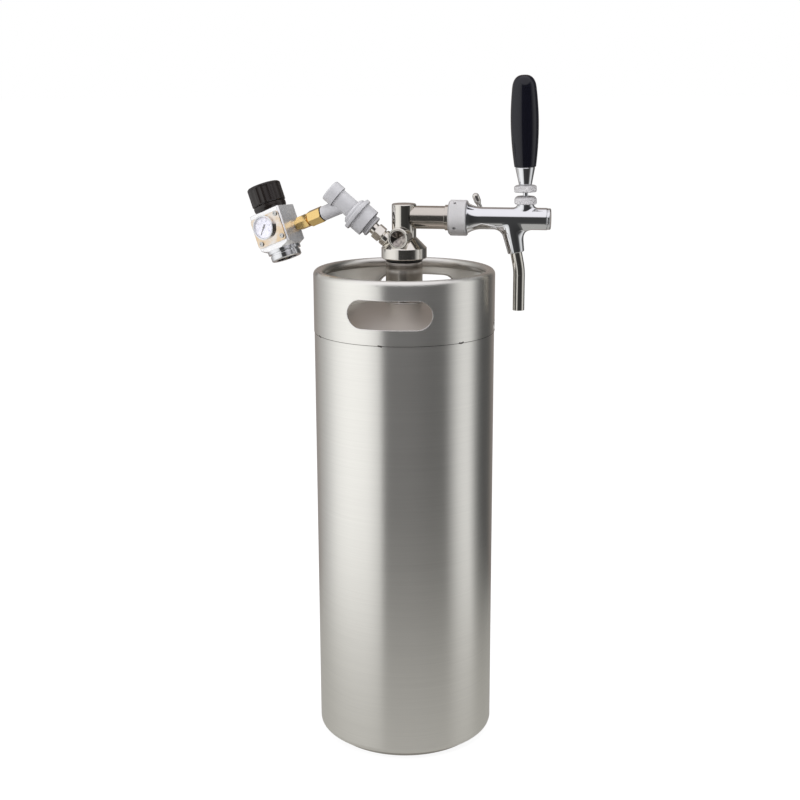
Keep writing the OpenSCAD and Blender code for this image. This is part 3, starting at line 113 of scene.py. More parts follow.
# ---------------------------------------------------------------- node helpers
class Tree:
    """A short way to write shader trees."""

    def __init__(self, tree):
        self.tree = tree
        tree.nodes.clear()

    def add(self, kind, **settings):
        n = self.tree.nodes.new("ShaderNode" + kind)
        for key, value in settings.items():
            setattr(n, key, value)
        return n

    def link(self, a, b):
        self.tree.links.new(a, b)

    def feed(self, socket, value):
        if isinstance(value, bpy.types.NodeSocket):
            self.link(value, socket)
        elif isinstance(value, tuple) and socket.type == "RGBA":
            socket.default_value = (*value, 1.0)
        else:
            socket.default_value = value

    def glow(self, kind, color, strength):
        """The shader of an Emission or Background node."""
        n = self.add(kind)
        self.feed(n.inputs[0], color)
        n.inputs[1].default_value = strength
        return n.outputs[0]

    def blend(self, fac, a, b):
        """Shader a, or b where fac is 1."""
        n = self.add("MixShader")
        for socket, source in zip(n.inputs, (fac, a, b)):
            self.link(source, socket)
        return n.outputs[0]

    def math(self, op, a, b=0.0, clamp=False):
        n = self.add("Math", operation=op, use_clamp=clamp)
        self.feed(n.inputs[0], a)
        self.feed(n.inputs[1], b)
        return n.outputs[0]

    def scaled(self, a, factor, offset):
        out = self.math("MULTIPLY_ADD", a, factor)
        out.node.inputs[2].default_value = offset
        return out

    def past(self, a, b, width):
        """0 until a is above b, then growing to 1 over width."""
        return self.math("MULTIPLY", self.math("SUBTRACT", a, b), 1.0 / width, True)

    def length(self, x, y):
        squares = self.math("ADD", self.math("MULTIPLY", x, x), self.math("MULTIPLY", y, y))
        return self.math("SQRT", squares)

    def axes(self, vector):
        split = self.add("SeparateXYZ")
        self.link(vector, split.inputs[0])
        return split.outputs

    def ramp(self, fac, stops, smooth=False):
        n = self.add("ValToRGB")
        e = n.color_ramp.elements
        while len(e) < len(stops):
            e.new(0.5)
        for spot, (pos, value) in zip(e, stops):
            spot.position = pos
            spot.color = (*value, 1) if isinstance(value, tuple) else (value, value, value, 1)
        n.color_ramp.interpolation = "EASE" if smooth else "LINEAR"
        self.feed(n.inputs[0], fac)
        return n.outputs[0]

    def mix(self, fac, a, b):
        n = self.add("Mix", data_type="RGBA")
        self.feed(n.inputs[0], fac)
        self.feed(n.inputs[6], a)
        self.feed(n.inputs[7], b)
        return n.outputs[2]

    def mottle(self, fac, low, high, a, b, smooth=False):
        """Colour a where fac is under low, colour b where it is over high."""
        return self.mix(self.ramp(fac, [(low, 0.0), (high, 1.0)], smooth), a, b)

    def noise(self, scale, detail=3.0, rough=0.5):
        """Noise in object coordinates, with about as many cells to the metre as scale says."""
        m = self.add("Mapping", vector_type="POINT")
        m.inputs["Scale"].default_value = scale if isinstance(scale, tuple) else (scale,) * 3
        self.link(self.add("TexCoord").outputs["Object"], m.inputs["Vector"])
        n = self.add("TexNoise")
        self.link(m.outputs[0], n.inputs["Vector"])
        n.inputs["Scale"].default_value = 1.0
        n.inputs["Detail"].default_value = detail
        n.inputs["Roughness"].default_value = rough
        return n.outputs[0]

    def bump(self, height, strength, distance, edge=None):
        """Bump, over edges that look rounded by the radius edge."""
        n = self.add("Bump")
        n.inputs["Strength"].default_value = strength
        n.inputs["Distance"].default_value = distance
        self.link(height, n.inputs["Height"])
        if edge is not None:
            soft = self.add("Bevel", samples=6)
            soft.inputs["Radius"].default_value = edge
            self.link(soft.outputs[0], n.inputs["Normal"])
        return n.outputs[0]


def blank(name):
    """A new material and its empty tree."""
    m = bpy.data.materials.new(name)
    m.use_nodes = True
    return m, Tree(m.node_tree)


def material(name, color, metallic, rough, tint=None, **sockets):
    """A Principled material, with tint as its plain colour.

    Each value may be a number, a colour or a function of the tree that gives a socket."""
    m, t = blank(name)
    p = t.add("BsdfPrincipled")
    t.link(p.outputs[0], t.add("OutputMaterial").inputs[0])
    given = {"Base Color": color, "Metallic": metallic, "Roughness": rough, **sockets}
    for key, value in given.items():
        t.feed(p.inputs[key], value(t) if callable(value) else value)
    m.diffuse_color = (*(tint or color), 1)
    return m


def shade(color, factor):
    return tuple(c * factor for c in color)


# ---------------------------------------------------------------- world, floor and lamps
# Brightness of the studio's walls by angle to the right of the camera, seen from the object
WALLS = [
    (-180, (0.30, 0.26, 0.24)),
    (-150, (0.29, 0.27, 0.26)),
    (-122, 0.52),
    (-96, 0.90),
    (-76, 1.0),
    (-50, 0.96),
    (-31, 0.66),
    (-27, 0.055),
    (30, 0.035),
    (54, 0.06),
    (64, 0.36),
    (74, 0.66),
    (92, 0.80),
    (106, 0.20),
    (116, 0.08),
    (138, 0.08),
    (160, (0.29, 0.26, 0.24)),
    (180, (0.30, 0.26, 0.24)),
]
# How far the white ceiling and the pale table take over from the walls, by angle above the horizon
CEILING = [(38, 0.0), (46, 0.95), (90, 1.0)]
CEILING_LEAN = 18
CEILING_COLOR = (0.97, 0.95, 0.99)
TABLE = [(-80, 1.0), (-66, 0.5), (-50, 0.1), (-34, 0.0)]
TABLE_COLOR = (0.80, 0.78, 0.73)
WHITE = (1.0, 1.0, 1.0)


def turn_at(degrees):
    """Place on the walls' ramp of an angle to the right of the camera's direction."""
    return 0.5 + degrees / 360.0


def height_at(degrees):
    """Place on the ceiling's and the table's ramps of an angle above the horizon."""
    return 0.5 + 0.5 * math.sin(math.radians(degrees))


def make_world():
    """White for the camera, and for metal a studio of bright and dark walls round the compass."""
    world = bpy.data.worlds.new("studio")
    bpy.context.scene.world = world
    world.use_nodes = True
    t = Tree(world.node_tree)
    x, y, z = t.axes(t.add("TexCoord").outputs["Generated"])
    # Compass angle, 0.5 towards the photograph's camera, growing to its right
    ca, sa = math.cos(CAMERA_AZ), math.sin(CAMERA_AZ)
    ahead = t.math("ADD", t.math("MULTIPLY", x, ca), t.math("MULTIPLY", y, sa))
    side = t.math("SUBTRACT", t.math("MULTIPLY", x, -sa), t.math("MULTIPLY", y, -ca))
    turn = t.scaled(t.math("ARCTAN2", side, ahead), 1.0 / (2 * math.pi), 0.5)
    walls = t.ramp(turn, [(turn_at(d), v) for d, v in WALLS])
    # The ceiling leans: it comes lower over the camera than behind the object
    lean = math.radians(CEILING_LEAN)
    upward = t.math("MULTIPLY", z, 0.5 * math.cos(lean))
    forward = t.math("MULTIPLY", ahead, 0.5 * math.sin(lean))
    over = t.math("ADD", t.math("ADD", upward, forward), 0.5)
    ceiling = t.ramp(over, [(height_at(d), v) for d, v in CEILING])
    table = t.ramp(t.scaled(z, 0.5, 0.5), [(height_at(d), v) for d, v in TABLE])
    seen = t.mix(table, t.mix(ceiling, walls, CEILING_COLOR), TABLE_COLOR)
    path = t.add("LightPath").outputs
    plain = t.math("ADD", path["Is Camera Ray"], path["Is Transmission Ray"], True)
    mixed = t.blend(plain, t.glow("Background", seen, 1.0), t.glow("Background", WHITE, 1.0))
    t.link(mixed, t.add("OutputWorld").inputs[0])


def disc(name, radius):
    """A flat round piece of the stage, and the tree of its new material."""
    mesh = bpy.data.meshes.new(name)
    bm = bmesh.new()
    bmesh.ops.create_circle(bm, cap_ends=True, radius=radius, segments=96)
    bm.to_mesh(mesh)
    bm.free()
    m, t = blank(name)
    mesh.materials.append(m)
    return add_object(name, mesh), t


def make_floor():
    floor, t = disc("floor", 30.0)
    diffuse = t.add("BsdfDiffuse")
    t.feed(diffuse.inputs[0], (0.86, 0.86, 0.86))
    path = t.add("LightPath").outputs
    seen = t.math("MAXIMUM", path["Is Camera Ray"], path["Is Transmission Ray"])
    white = t.glow("Emission", WHITE, 1.1)
    mixed = t.blend(t.math("MULTIPLY", seen, 0.82), diffuse.outputs[0], white)
    t.link(mixed, t.add("OutputMaterial").inputs[0])
    floor.visible_glossy = False


def make_table():
    """The pale table round the keg, which shows only in reflections."""
    o, t = disc("table_sheen", 0.44)
    o.location = (0, 0, -0.0005)
    t.link(t.glow("Emission", (1.0, 0.98, 0.93), 0.42), t.add("OutputMaterial").inputs[0])
    o.visible_camera = o.visible_diffuse = o.visible_shadow = o.visible_transmission = False


def lamp(name, place, target, size, watts):
    data = bpy.data.lights.new(name, "AREA")
    data.shape = "RECTANGLE"
    data.size, data.size_y = size
    data.energy = watts
    o = add_object(name, data)
    o.location = place
    o.rotation_mode = "QUATERNION"
    o.rotation_quaternion = (Vector(target) - Vector(place)).to_track_quat("-Z", "Y")
    o.visible_glossy = False


make_camera()
make_world()
make_floor()
make_table()
lamp("key", (-1.5, -1.6, 1.6), (0, 0, 0.35), (1.2, 1.4), 26)
lamp("top", (0.2, -0.3, 2.2), (0, 0, 0.4), (1.6, 1.6), 22)
lamp("rim", (1.6, 0.4, 1.1), (0, 0, 0.4), (0.8, 1.4), 12)


# ---------------------------------------------------------------- materials, in metres
# The rolled rim starts at RIM_FOOT. Under it, what lies within INNER_R is plainer, with painted
# shade in a darker, browner colour:
# the slots' lips, the neck and the rounded corner at the foot, but not the sheet's own inside face
INNER_R = 0.088 - 0.0016
RIM_FOOT = 0.4775
# Painted shade: the rolled rim's darkened colour, and the darker, browner colour inside
RIM_SHADE_COLOR, INSIDE_SHADE_COLOR = (0.58, 0.56, 0.54), (0.53, 0.505, 0.47)


def brushed(name, color, rough, streak, aniso):
    """Stainless sheet brushed round the keg: long fine streaks, blurred up and down only."""
    m, t = blank(name)
    p = t.add("BsdfPrincipled")
    t.link(p.outputs[0], t.add("OutputMaterial").inputs[0])
    fine = t.noise((9, 9, 3200), 2.0, 0.6)
    broad = t.noise((5, 5, 420), 3.0, 0.6)
    blotch = t.noise((9, 9, 5), 2.0)
    lines = t.math("ADD", t.math("MULTIPLY", fine, 0.78), t.math("MULTIPLY", broad, 0.22))
    face = t.mottle(lines, 0.3, 0.7, shade(color, 1 - streak), color)
    x, y, z = t.axes(t.add("TexCoord").outputs["Object"])
    # Never brushed, so plainer; the darker, browner colour is painted shade of the keg's inside
    inside = t.past(INNER_R, t.length(x, y), 0.0006)
    inside = t.math("MULTIPLY", inside, t.past(RIM_FOOT, z, 0.003))
    # The rolled rim is burnished smooth, and its darker colour is painted shade
    rolled = t.past(z, RIM_FOOT, 0.003)
    face = t.mix(inside, t.mix(rolled, face, RIM_SHADE_COLOR), INSIDE_SHADE_COLOR)
    t.link(face, p.inputs["Base Color"])
    r = t.math("ADD", t.scaled(lines, 0.10, rough - 0.05), t.math("MULTIPLY", blotch, 0.04))
    r = t.math("SUBTRACT", r, t.math("MULTIPLY", rolled, 0.20))
    r = t.math("SUBTRACT", r, t.math("MULTIPLY", inside, 0.05))
    t.link(r, p.inputs["Roughness"])
    p.inputs["Metallic"].default_value = 1.0
    p.inputs["Anisotropic"].default_value = aniso
    p.inputs["Anisotropic Rotation"].default_value = 0.25
    tangent = t.add("Tangent", direction_type="RADIAL", axis="Z")
    t.link(tangent.outputs[0], p.inputs["Tangent"])
    t.link(t.bump(fine, 0.06, 0.0004), p.inputs["Normal"])
    m.diffuse_color = (*color, 1)
    return m


def polished(name, color, rough=0.08, smudge=0.05, grain=0.02, edge=0.0005, metallic=1.0):
    """Turned or plated metal with faint smears and a softened edge."""

    def roughness(t):
        return t.scaled(t.noise(60, 4.0, 0.6), smudge, rough - smudge * 0.5)

    def normal(t):
        return t.bump(t.noise(900, 2.0), grain, 0.0003, edge)

    def tone(t):
        return t.mottle(t.noise(35, 2.0), 0.35, 0.65, shade(color, 0.97), color)

    return material(name, tone, metallic, roughness, color, Normal=normal)


def plastic(name, color, rough, grain=0.05, edge=0.0005, **more):
    """Moulded plastic: an even colour with a very faint mottle and a fine surface grain."""

    def tone(t):
        return t.mottle(t.noise(40), 0.3, 0.7, shade(color, 0.95), color)

    def normal(t):
        return t.bump(t.noise(700, 2.0), grain, 0.0003, edge)

    def roughness(t):
        return t.scaled(t.noise(120), 0.08, rough - 0.04)

    return material(name, tone, 0.0, roughness, color, Normal=normal, **more)


def local(t, axis):
    """The point in the frame axis, and its distance from that frame's Z."""
    inverse = axis.inverted()
    m = t.add("Mapping", vector_type="POINT")
    m.inputs["Rotation"].default_value = inverse.to_euler("XYZ")
    m.inputs["Location"].default_value = inverse.to_translation()
    t.link(t.add("TexCoord").outputs["Object"], m.inputs["Vector"])
    x, y, z = t.axes(m.outputs[0])
    return x, y, z, t.length(x, y)


def cupped(name, color, axis, radius):
    """Turned metal whose round end is dished inside a bright rim, with painted shade in the dish.
    """
    rim = 0.0011

    def dish(t):
        r = local(t, axis)[3]
        return r, t.past(radius - rim, r, 0.0002)

    def tone(t):
        _, inner = dish(t)
        # Painted shade: the dish is coloured dark, mottled at random
        dark = t.mottle(t.noise(300, 2.0), 0.4, 0.6, (0.20, 0.18, 0.17), (0.42, 0.38, 0.35))
        return t.mix(inner, color, dark)

    def normal(t):
        r, inner = dish(t)
        depth = t.math("MULTIPLY", t.math("MULTIPLY", r, 1.0 / 0.001), inner)
        return t.bump(depth, 0.55, 0.001, 0.0003)

    return material(name, tone, 1.0, 0.14, (0.6, 0.6, 0.6), Normal=normal)


def reflection_painted_plate(name, color, warm, rough):
    """Polished plate with painted reflections: soft patches of a second colour stand for the warm
    things round it.
    """

    def tone(t):
        return t.mottle(t.noise(90, 3.0, 0.6), 0.34, 0.66, color, warm, True)

    def normal(t):
        return t.bump(t.noise(160, 2.0), 0.25, 0.0008, 0.0005)

    return material(name, tone, 1.0, rough, (0.6, 0.6, 0.6), Normal=normal)


def knurled(name, axis, radius, count, depth):
    """Satin metal whose round outside has a diamond knurl.

    axis is the frame whose Z runs along the piece, and count the knurl's ridges round it."""
    color, pitch, margin = (0.94, 0.93, 0.94), 0.0012, 0.0004

    def triangle(t, a):
        saw = t.math("SUBTRACT", t.math("MULTIPLY", t.math("FRACT", a), 2.0), 1.0)
        return t.math("SUBTRACT", 1.0, t.math("ABSOLUTE", saw))

    def height(t):
        x, y, z, r = local(t, axis)
        u = t.math("MULTIPLY", t.math("ARCTAN2", y, x), count / (2 * math.pi))
        v = t.math("MULTIPLY", z, 1.0 / pitch)
        one, other = triangle(t, t.math("ADD", u, v)), triangle(t, t.math("SUBTRACT", u, v))
        return t.math("MULTIPLY", t.math("MINIMUM", one, other), t.past(r, radius - margin, 0.0002))

    def normal(t):
        return t.bump(height(t), 1.0, depth, 0.0004)

    def tone(t):
        base = t.mottle(t.noise(50), 0.35, 0.65, shade(color, 0.94), color)
        # Painted shade: the knurl's grooves are coloured darker
        groove_shade = t.ramp(height(t), [(0.0, 1.0), (0.25, 0.0)])
        return t.mix(groove_shade, base, shade(color, 0.55))

    return material(name, tone, 0.6, 0.34, color, Normal=normal)


CHROME = (0.86, 0.87, 0.89)
BLACK_GLOSS = {"Specular IOR Level": 0.42}
MATERIALS = {
    "keg_steel": brushed("keg_steel", (0.98, 0.968, 0.918), 0.31, 0.08, 0.9),
    "dome_steel": polished("dome_steel", (0.66, 0.62, 0.57), 0.42, 0.1),
    "head_steel": polished("head_steel", (0.80, 0.77, 0.71)),
    "chrome": polished("chrome", CHROME, 0.03, 0.02, 0.0),
    "knurled_steel": polished("knurled_steel", (0.74, 0.74, 0.73), 0.32, 0.08),
    "spring_steel": polished("spring_steel", (0.66, 0.66, 0.65), 0.25),
    "handle_black": plastic("handle_black", (0.005, 0.005, 0.009), 0.09, 0.0, **BLACK_GLOSS),
    "knob_black": plastic("knob_black", (0.012, 0.009, 0.008), 0.20),
    "rubber": plastic("rubber", (0.02, 0.02, 0.02), 0.6, 0.1),
    "grey_plastic": plastic("grey_plastic", (0.46, 0.46, 0.475), 0.36, edge=0.0008),
    "brass": polished("brass", (0.93, 0.66, 0.27), 0.20, 0.08, 0.03, 0.0006),
    "alloy": polished("alloy", (0.94, 0.94, 0.95), 0.25, 0.05, 0.01, 0.0006, 0.75),
    "plate_nickel": polished("plate_nickel", (0.80, 0.78, 0.73), 0.10, 0.06),
    "dial_face": plastic("dial_face", (0.80, 0.80, 0.90), 0.5, 0.02),
    "lens": material("lens", WHITE, 0.0, 0.02, Alpha=0.12),
}
TAP_CHROME = polished("tap_chrome", CHROME, 0.03, 0.02, 0.0)
SHANK_STEEL = polished("shank_steel", (0.66, 0.62, 0.56), 0.17, 0.06)
INK = plastic("dial_ink", (0.05, 0.06, 0.16), 0.5, 0.02)
RED = plastic("dial_red", (0.62, 0.05, 0.09), 0.5, 0.02)
# Dark weld marks, also used as painted shade in the seam's gap
WELD_AND_GAP_SHADE = polished("weld_mark_and_gap_shade", (0.13, 0.12, 0.11), 0.42, 0.2, 0.3)
RIM = polished("slot_rim", (0.95, 0.94, 0.92), 0.16, 0.06)
BEAD = polished("weld_bead", (0.52, 0.50, 0.47), 0.34, 0.15, 0.3)


# ---------------------------------------------------------------- frames, as in the part's source
ARM_Z, LEVER_X, BALL_UP, LEAN = 528.3, 116.9, 15.7, 1.6


def move(x, y, z):
    return Matrix.Translation(Vector((x, y, z)) * MM)


def turned(axis, degrees):
    return Matrix.Rotation(math.radians(degrees), 4, axis)


DISCONNECT = move(0, 0, 492.2) @ turned("Y", -50) @ turned("Z", -19)
OUTLET = DISCONNECT @ move(0, 0, 74.4) @ turned("Y", -64.4)
PORT = OUTLET @ turned("Z", 18) @ move(0, 0, 60.8)
REGULATOR = PORT @ turned("Y", 90) @ move(-18, -9, -17.8)
DIAL = REGULATOR @ move(0, -17.65, 0) @ turned("X", 90) @ move(-3.1, 23.8, 0)
LEVER = move(LEVER_X, 0, ARM_Z + BALL_UP) @ turned("Y", -LEAN)
BONNET = move(LEVER_X, 0, 0)
ARM = move(0, 0, ARM_Z) @ turned("Y", 90)
BOSS = move(0, 0, 509.6) @ turned("Z", -97) @ turned("Y", 90)


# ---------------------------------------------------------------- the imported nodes' finishes
OWN = {
    "coupling_nut": knurled("knurl_coupling", ARM, 0.01705, 88, 0.00035),
    "bonnet_nut": knurled("knurl_bonnet", BONNET, 0.0106, 56, 0.0003),
    "lock_nut": knurled("knurl_lock", LEVER, 0.0107, 56, 0.0003),
    "flow_lever": polished("lever_steel", (0.78, 0.75, 0.70), 0.24, 0.06),
    "end_cap": polished("cap_chrome", CHROME, 0.05, 0.02, 0.0, 0.0022),
    "keg_neck": brushed("neck_steel", (0.92, 0.90, 0.87), 0.22, 0.05, 0.8),
    "relief_plug": cupped("relief_face", (0.86, 0.84, 0.81), BOSS, 0.0088),
    # Painted reflections: the plate's warmer patches
    "gauge_plate": reflection_painted_plate("plate_painted_reflections", (0.84, 0.79, 0.74), (0.80, 0.62, 0.42), 0.12),
}
for part in frame["record"]["subparts"]:
    slots = nodes[part["node"]].data.materials
    slots.clear()
    slots.append(OWN.get(part["node"], MATERIALS[part["material_slot"]]))


# ---------------------------------------------------------------- mesh helpers, in millimetres
def piece(name, mesh, body, mat, smooth=True):
    o = add_object(name, mesh)
    mesh.materials.append(mat)
    for f in mesh.polygons:
        f.use_smooth = smooth
    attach(o, body)
    return o


def stand_in(name, mesh, node, mat, degrees=None):
    """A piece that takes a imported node's place, with its edges sharp from degrees up."""
    o = piece(name, mesh, nodes[node]["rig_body"], mat)
    if degrees is not None:
        smooth_by_angle(mesh, degrees)
    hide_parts(node)
    return o


def smooth_by_angle(mesh, degrees):
    bm = bmesh.new()
    bm.from_mesh(mesh)
    for e in bm.edges:
        e.smooth = len(e.link_faces) == 2 and e.calc_face_angle(4.0) < math.radians(degrees)
    bm.to_mesh(mesh)
    bm.free()


def copied(node, name):
    """A copy of a node's mesh, which may be changed."""
    mesh = nodes[node].data.copy()
    mesh.name = name
    mesh.materials.clear()
    return mesh


def mesh_of(name, verts, faces, frame_matrix=None):
    mesh = bpy.data.meshes.new(name)
    mesh.from_pydata([tuple(c * MM for c in v) for v in verts], [], faces)
    if frame_matrix is not None:
        mesh.transform(frame_matrix)
    mesh.validate()
    mesh.update()
    return mesh


def evaluated(o):
    """The mesh of an object with its modifiers or text."""
    bpy.context.view_layer.update()
    graph = bpy.context.evaluated_depsgraph_get()
    return bpy.data.meshes.new_from_object(o.evaluated_get(graph))


def angles(count):
    return [2 * math.pi * i / count for i in range(count)]


def wall_faces(rows, around, first=0):
    """Faces between neighbours of rows + 1 closed rows of points."""
    faces = []
    for i in range(first, first + rows * around, around):
        for j in range(around):
            k = (j + 1) % around
            faces.append((i + j, i + k, i + around + k, i + around + j))
    return faces


def loop_faces(sections, around):
    """Faces of a tube whose last section joins its first."""
    faces = []
    for i in range(sections):
        for j in range(around):
            a, b, l = i * around, (i + 1) % sections * around, (j + 1) % around
            faces.append((a + j, b + j, b + l, a + l))
    return faces


def cut_at(bm, x):
    """Takes away what lies below x and closes the cut."""
    everything = bm.verts[:] + bm.edges[:] + bm.faces[:]
    cut = bmesh.ops.bisect_plane(
        bm, geom=everything, plane_co=(x, 0, 0), plane_no=(1, 0, 0), clear_inner=True
    )
    edges = [e for e in cut["geom_cut"] if isinstance(e, bmesh.types.BMEdge)]
    bmesh.ops.holes_fill(bm, edges=edges)


# ---------------------------------------------------------------- the gauge's dial
class Sketch:
    """Flat shapes gathered into one mesh, just above the dial."""

    def __init__(self, z=0.03):
        self.verts, self.faces, self.z = [], [], z

    def poly(self, points):
        n = len(self.verts)
        self.verts += [(x, y, self.z) for x, y in points]
        self.faces.append(tuple(range(n, n + len(points))))

    def tick(self, angle, r0, r1, width):
        a = math.radians(angle)
        c, s, h = math.cos(a), math.sin(a), width / 2
        corners = ((r0, -h), (r1, -h), (r1, h), (r0, h))
        self.poly([(r * c - w * s, r * s + w * c) for r, w in corners])

    def arc(self, start, end, r0, r1, step=3.0):
        """A band from the angle start down to the angle end."""
        n = int((start - end) / step)
        for i in range(n):
            b = math.radians(start + (end - start) * i / n)
            a = math.radians(start + (end - start) * (i + 1) / n)
            corners = ((r0, a), (r1, a), (r1, b), (r0, b))
            self.poly([(r * math.cos(t), r * math.sin(t)) for r, t in corners])

    def number(self, text, angle, r, size):
        a = math.radians(angle)
        x, y = r * math.cos(a), r * math.sin(a)
        curve = bpy.data.curves.new("number", "FONT")
        curve.body, curve.size = text, size
        curve.align_x, curve.align_y = "CENTER", "CENTER"
        curve.resolution_u = 3
        o = add_object("number", curve)
        flat = evaluated(o)
        n = len(self.verts)
        self.verts += [(v.co.x + x, v.co.y + y, self.z) for v in flat.vertices]
        self.faces += [tuple(n + i for i in f.vertices) for f in flat.polygons]
        bpy.data.objects.remove(o)
        bpy.data.curves.remove(curve)
        bpy.data.meshes.remove(flat)

    def make(self, name, mat):
        mesh = mesh_of(name, self.verts, self.faces, DIAL)
        piece(name, mesh, "regulator", mat, False)


DIAL_START, DIAL_END, RED_START = 225, -45, 60
OUTER_TICKS, INNER_TICKS, MAJOR_EVERY = 31, 21, 5


def dial_print():
    """Generic scales: 0 to 60 outside, 0 to 4 inside, and a red arc at the top end."""
    ink, red = Sketch(), Sketch()
    outer_step = (DIAL_START - DIAL_END) / (OUTER_TICKS - 1)
    inner_step = (DIAL_START - DIAL_END) / (INNER_TICKS - 1)
    for i in range(OUTER_TICKS):
        angle, major = DIAL_START - outer_step * i, i % MAJOR_EVERY == 0
        ink.tick(angle, 8.0 if major else 8.7, 9.6, 0.28 if major else 0.13)
        if major:
            ink.number(str(2 * i), angle, 6.9, 1.9)
    ink.arc(DIAL_START, DIAL_END, 9.55, 9.68)
    ink.arc(DIAL_START, DIAL_END, 5.2, 5.3)
    for i in range(INNER_TICKS):
        angle, major = DIAL_START - inner_step * i, i % MAJOR_EVERY == 0
        ink.tick(angle, 4.6 if major else 4.85, 5.25, 0.16 if major else 0.09)
    for i in range(0, INNER_TICKS, MAJOR_EVERY):
        ink.number(str(i // MAJOR_EVERY), DIAL_START - inner_step * i, 3.8, 1.3)
    red.arc(RED_START, DIAL_END, 9.75, 10.3)
    ink.make("dial_scale", INK)
    red.make("dial_red_arc", RED)


# ---------------------------------------------------------------- the keg's seams and slots
KEG_R, SEAM_Z = 88.0, 418.0
WELD_GROUPS, WELD_START, WELD_UP = 7, -94.6, 0.45
# Each spot weld's place along the seam, its place up from WELD_UP and its size
WELD_SPOTS = ((-1.9, 0.1, 1.0), (0.4, -0.2, 1.35), (1.9, 0.35, 0.8))
SKIRT_R, SLOT_W, SLOT_H, SLOT_Z = 88.4, 81.6, 28.4, 446.8


def blob(verts, faces, centre, u, v, w, size, seed):
    """A small uneven lump of weld on a surface, with u and v along it and w out of it."""
    rings, around = 4, 10
    faces += wall_faces(rings, around, len(verts))
    for i in range(rings + 1):
        rise = math.pi / 2 * i / rings
        for a in angles(around):
            wave = 1 + 0.22 * math.sin(3 * a + seed) + 0.12 * math.sin(5 * a + 2 * seed)
            r = math.cos(rise) * wave
            p = centre + u * (r * size[0] * math.cos(a)) + v * (r * size[1] * math.sin(a))
            verts.append(tuple(p + w * (math.sin(rise) * size[2])))


def seam_welds():
    """Groups of spot welds, evenly spread, which hold the skirt on the shell."""
    verts, faces = [], []
    for i in range(WELD_GROUPS):
        middle = math.radians(WELD_START + 360 * i / WELD_GROUPS)
        for k, (dx, dz, size) in enumerate(WELD_SPOTS):
            if k == 2 and i % 2 == 0:
                continue
            a = middle + dx / KEG_R
            out = Vector((math.cos(a), math.sin(a), 0))
            along = Vector((-math.sin(a), math.cos(a), 0))
            centre = out * KEG_R + UP * (SEAM_Z + WELD_UP + dz)
            blob(verts, faces, centre, along, UP, out, (1.5 * size, 1.0, 0.6), i + k)
    piece("seam_welds", mesh_of("seam_welds", verts, faces), "keg", WELD_AND_GAP_SHADE)


def ring(name, sections, around, mat, outline):
    """A closed rod round the Z axis. outline gives its radius and height at two angles."""
    verts = []
    for a in angles(sections):
        for b in angles(around):
            r, z = outline(a, b)
            verts.append((r * math.cos(a), r * math.sin(a), z))
    mesh = mesh_of(name, verts, loop_faces(sections, around))
    piece(name, mesh, "keg", mat)


def seam_gap_shade():
    """A dark rod in the gap under the skirt's lower edge: painted shade of the gap."""

    def outline(a, b):
        return KEG_R + 0.08 + 0.14 * math.cos(b), SEAM_Z + 0.02 + 0.16 * math.sin(b)

    ring("seam_gap_shade", 240, 6, WELD_AND_GAP_SHADE, outline)


def neck_weld(radius=18.3, z=446.4, thick=1.1, ripples=70):
    """The weld round the neck's foot, with the overlapping ripples of its passes."""

    def outline(a, b):
        size = thick * (1 + 0.12 * math.sin(ripples * a) + 0.05 * math.sin(7 * a + 1))
        return radius + size * math.cos(b), z + 0.75 * size * math.sin(b)

    ring("neck_weld", ripples * 4, 8, BEAD, outline)


def slot_rim(name, side):
    """The rounded edge of a handle slot: a thin rod along its outline round the skirt."""
    thick, inset, sink = 0.45, 0.3, 0.02
    half, straight = SLOT_H / 2 - inset, (SLOT_W - SLOT_H) / 2
    outline = []
    for sign in (1, -1):
        for i in range(25):
            a = math.radians(-90 * sign + 7.5 * i)
            c, s = math.cos(a), math.sin(a)
            outline.append((sign * straight + half * c, half * s, c, s))
        for i in range(1, 24):
            outline.append((sign * straight * (1 - i / 12), sign * half, 0.0, sign))
    verts, around = [], 8
    for x, z, nx, nz in outline:
        for b in angles(around):
            px = x + thick * math.cos(b) * nx
            r = SKIRT_R - thick - sink + thick * math.sin(b)
            pz = SLOT_Z + z + thick * math.cos(b) * nz
            verts.append((px, side * math.sqrt(r * r - px * px), pz))
    mesh = mesh_of(name, verts, loop_faces(len(outline), around))
    piece(name, mesh, "keg", RIM)


# ---------------------------------------------------------------- the tap's grip and tube
GRIP_H, GRIP_FOOT, GRIP_BELLY, GRIP_DOME = 84.6, 33.1, 43.0, 72
GRIP_R, GRIP_FOOT_R, GRIP_TOP_R = 13.2, 10.2, 10.0
POINT_R = 0.001
SHANK_STEP = 7.4


def handle_grip():
    """The turned grip: widest just above its middle, drawn in upwards to a soft dome."""
    steps, crowd, dome = 96, 1.6, 2.7
    outline = [(POINT_R, 0.0), (10.0, 0.0), (GRIP_FOOT_R, 0.25)]
    for i in range(1, steps + 1):
        h = GRIP_H * (1 - (1 - i / steps) ** crowd)
        if h < GRIP_BELLY:
            r = GRIP_R - (GRIP_R - GRIP_FOOT_R) * ((GRIP_BELLY - h) / GRIP_BELLY) ** 2
        else:
            up = (h - GRIP_BELLY) / (GRIP_H - GRIP_BELLY)
            r = GRIP_R - (GRIP_R - GRIP_TOP_R) * up**1.8
        if h > GRIP_DOME:
            up = (h - GRIP_DOME) / (GRIP_H - GRIP_DOME)
            r *= max(0.0, 1 - up**dome) ** (1 / dome)
        outline.append((max(r, POINT_R), h))
    around = 64
    verts = [(r * math.cos(a), r * math.sin(a), h) for r, h in outline for a in angles(around)]
    top = (len(outline) - 1) * around
    faces = wall_faces(len(outline) - 1, around)
    faces.append(tuple(range(around))[::-1])
    faces.append(tuple(range(top, top + around)))
    mesh = mesh_of("handle_grip", verts, faces, LEVER @ move(0, 0, GRIP_FOOT))
    stand_in("handle_grip", mesh, "tap_handle", MATERIALS["handle_black"])


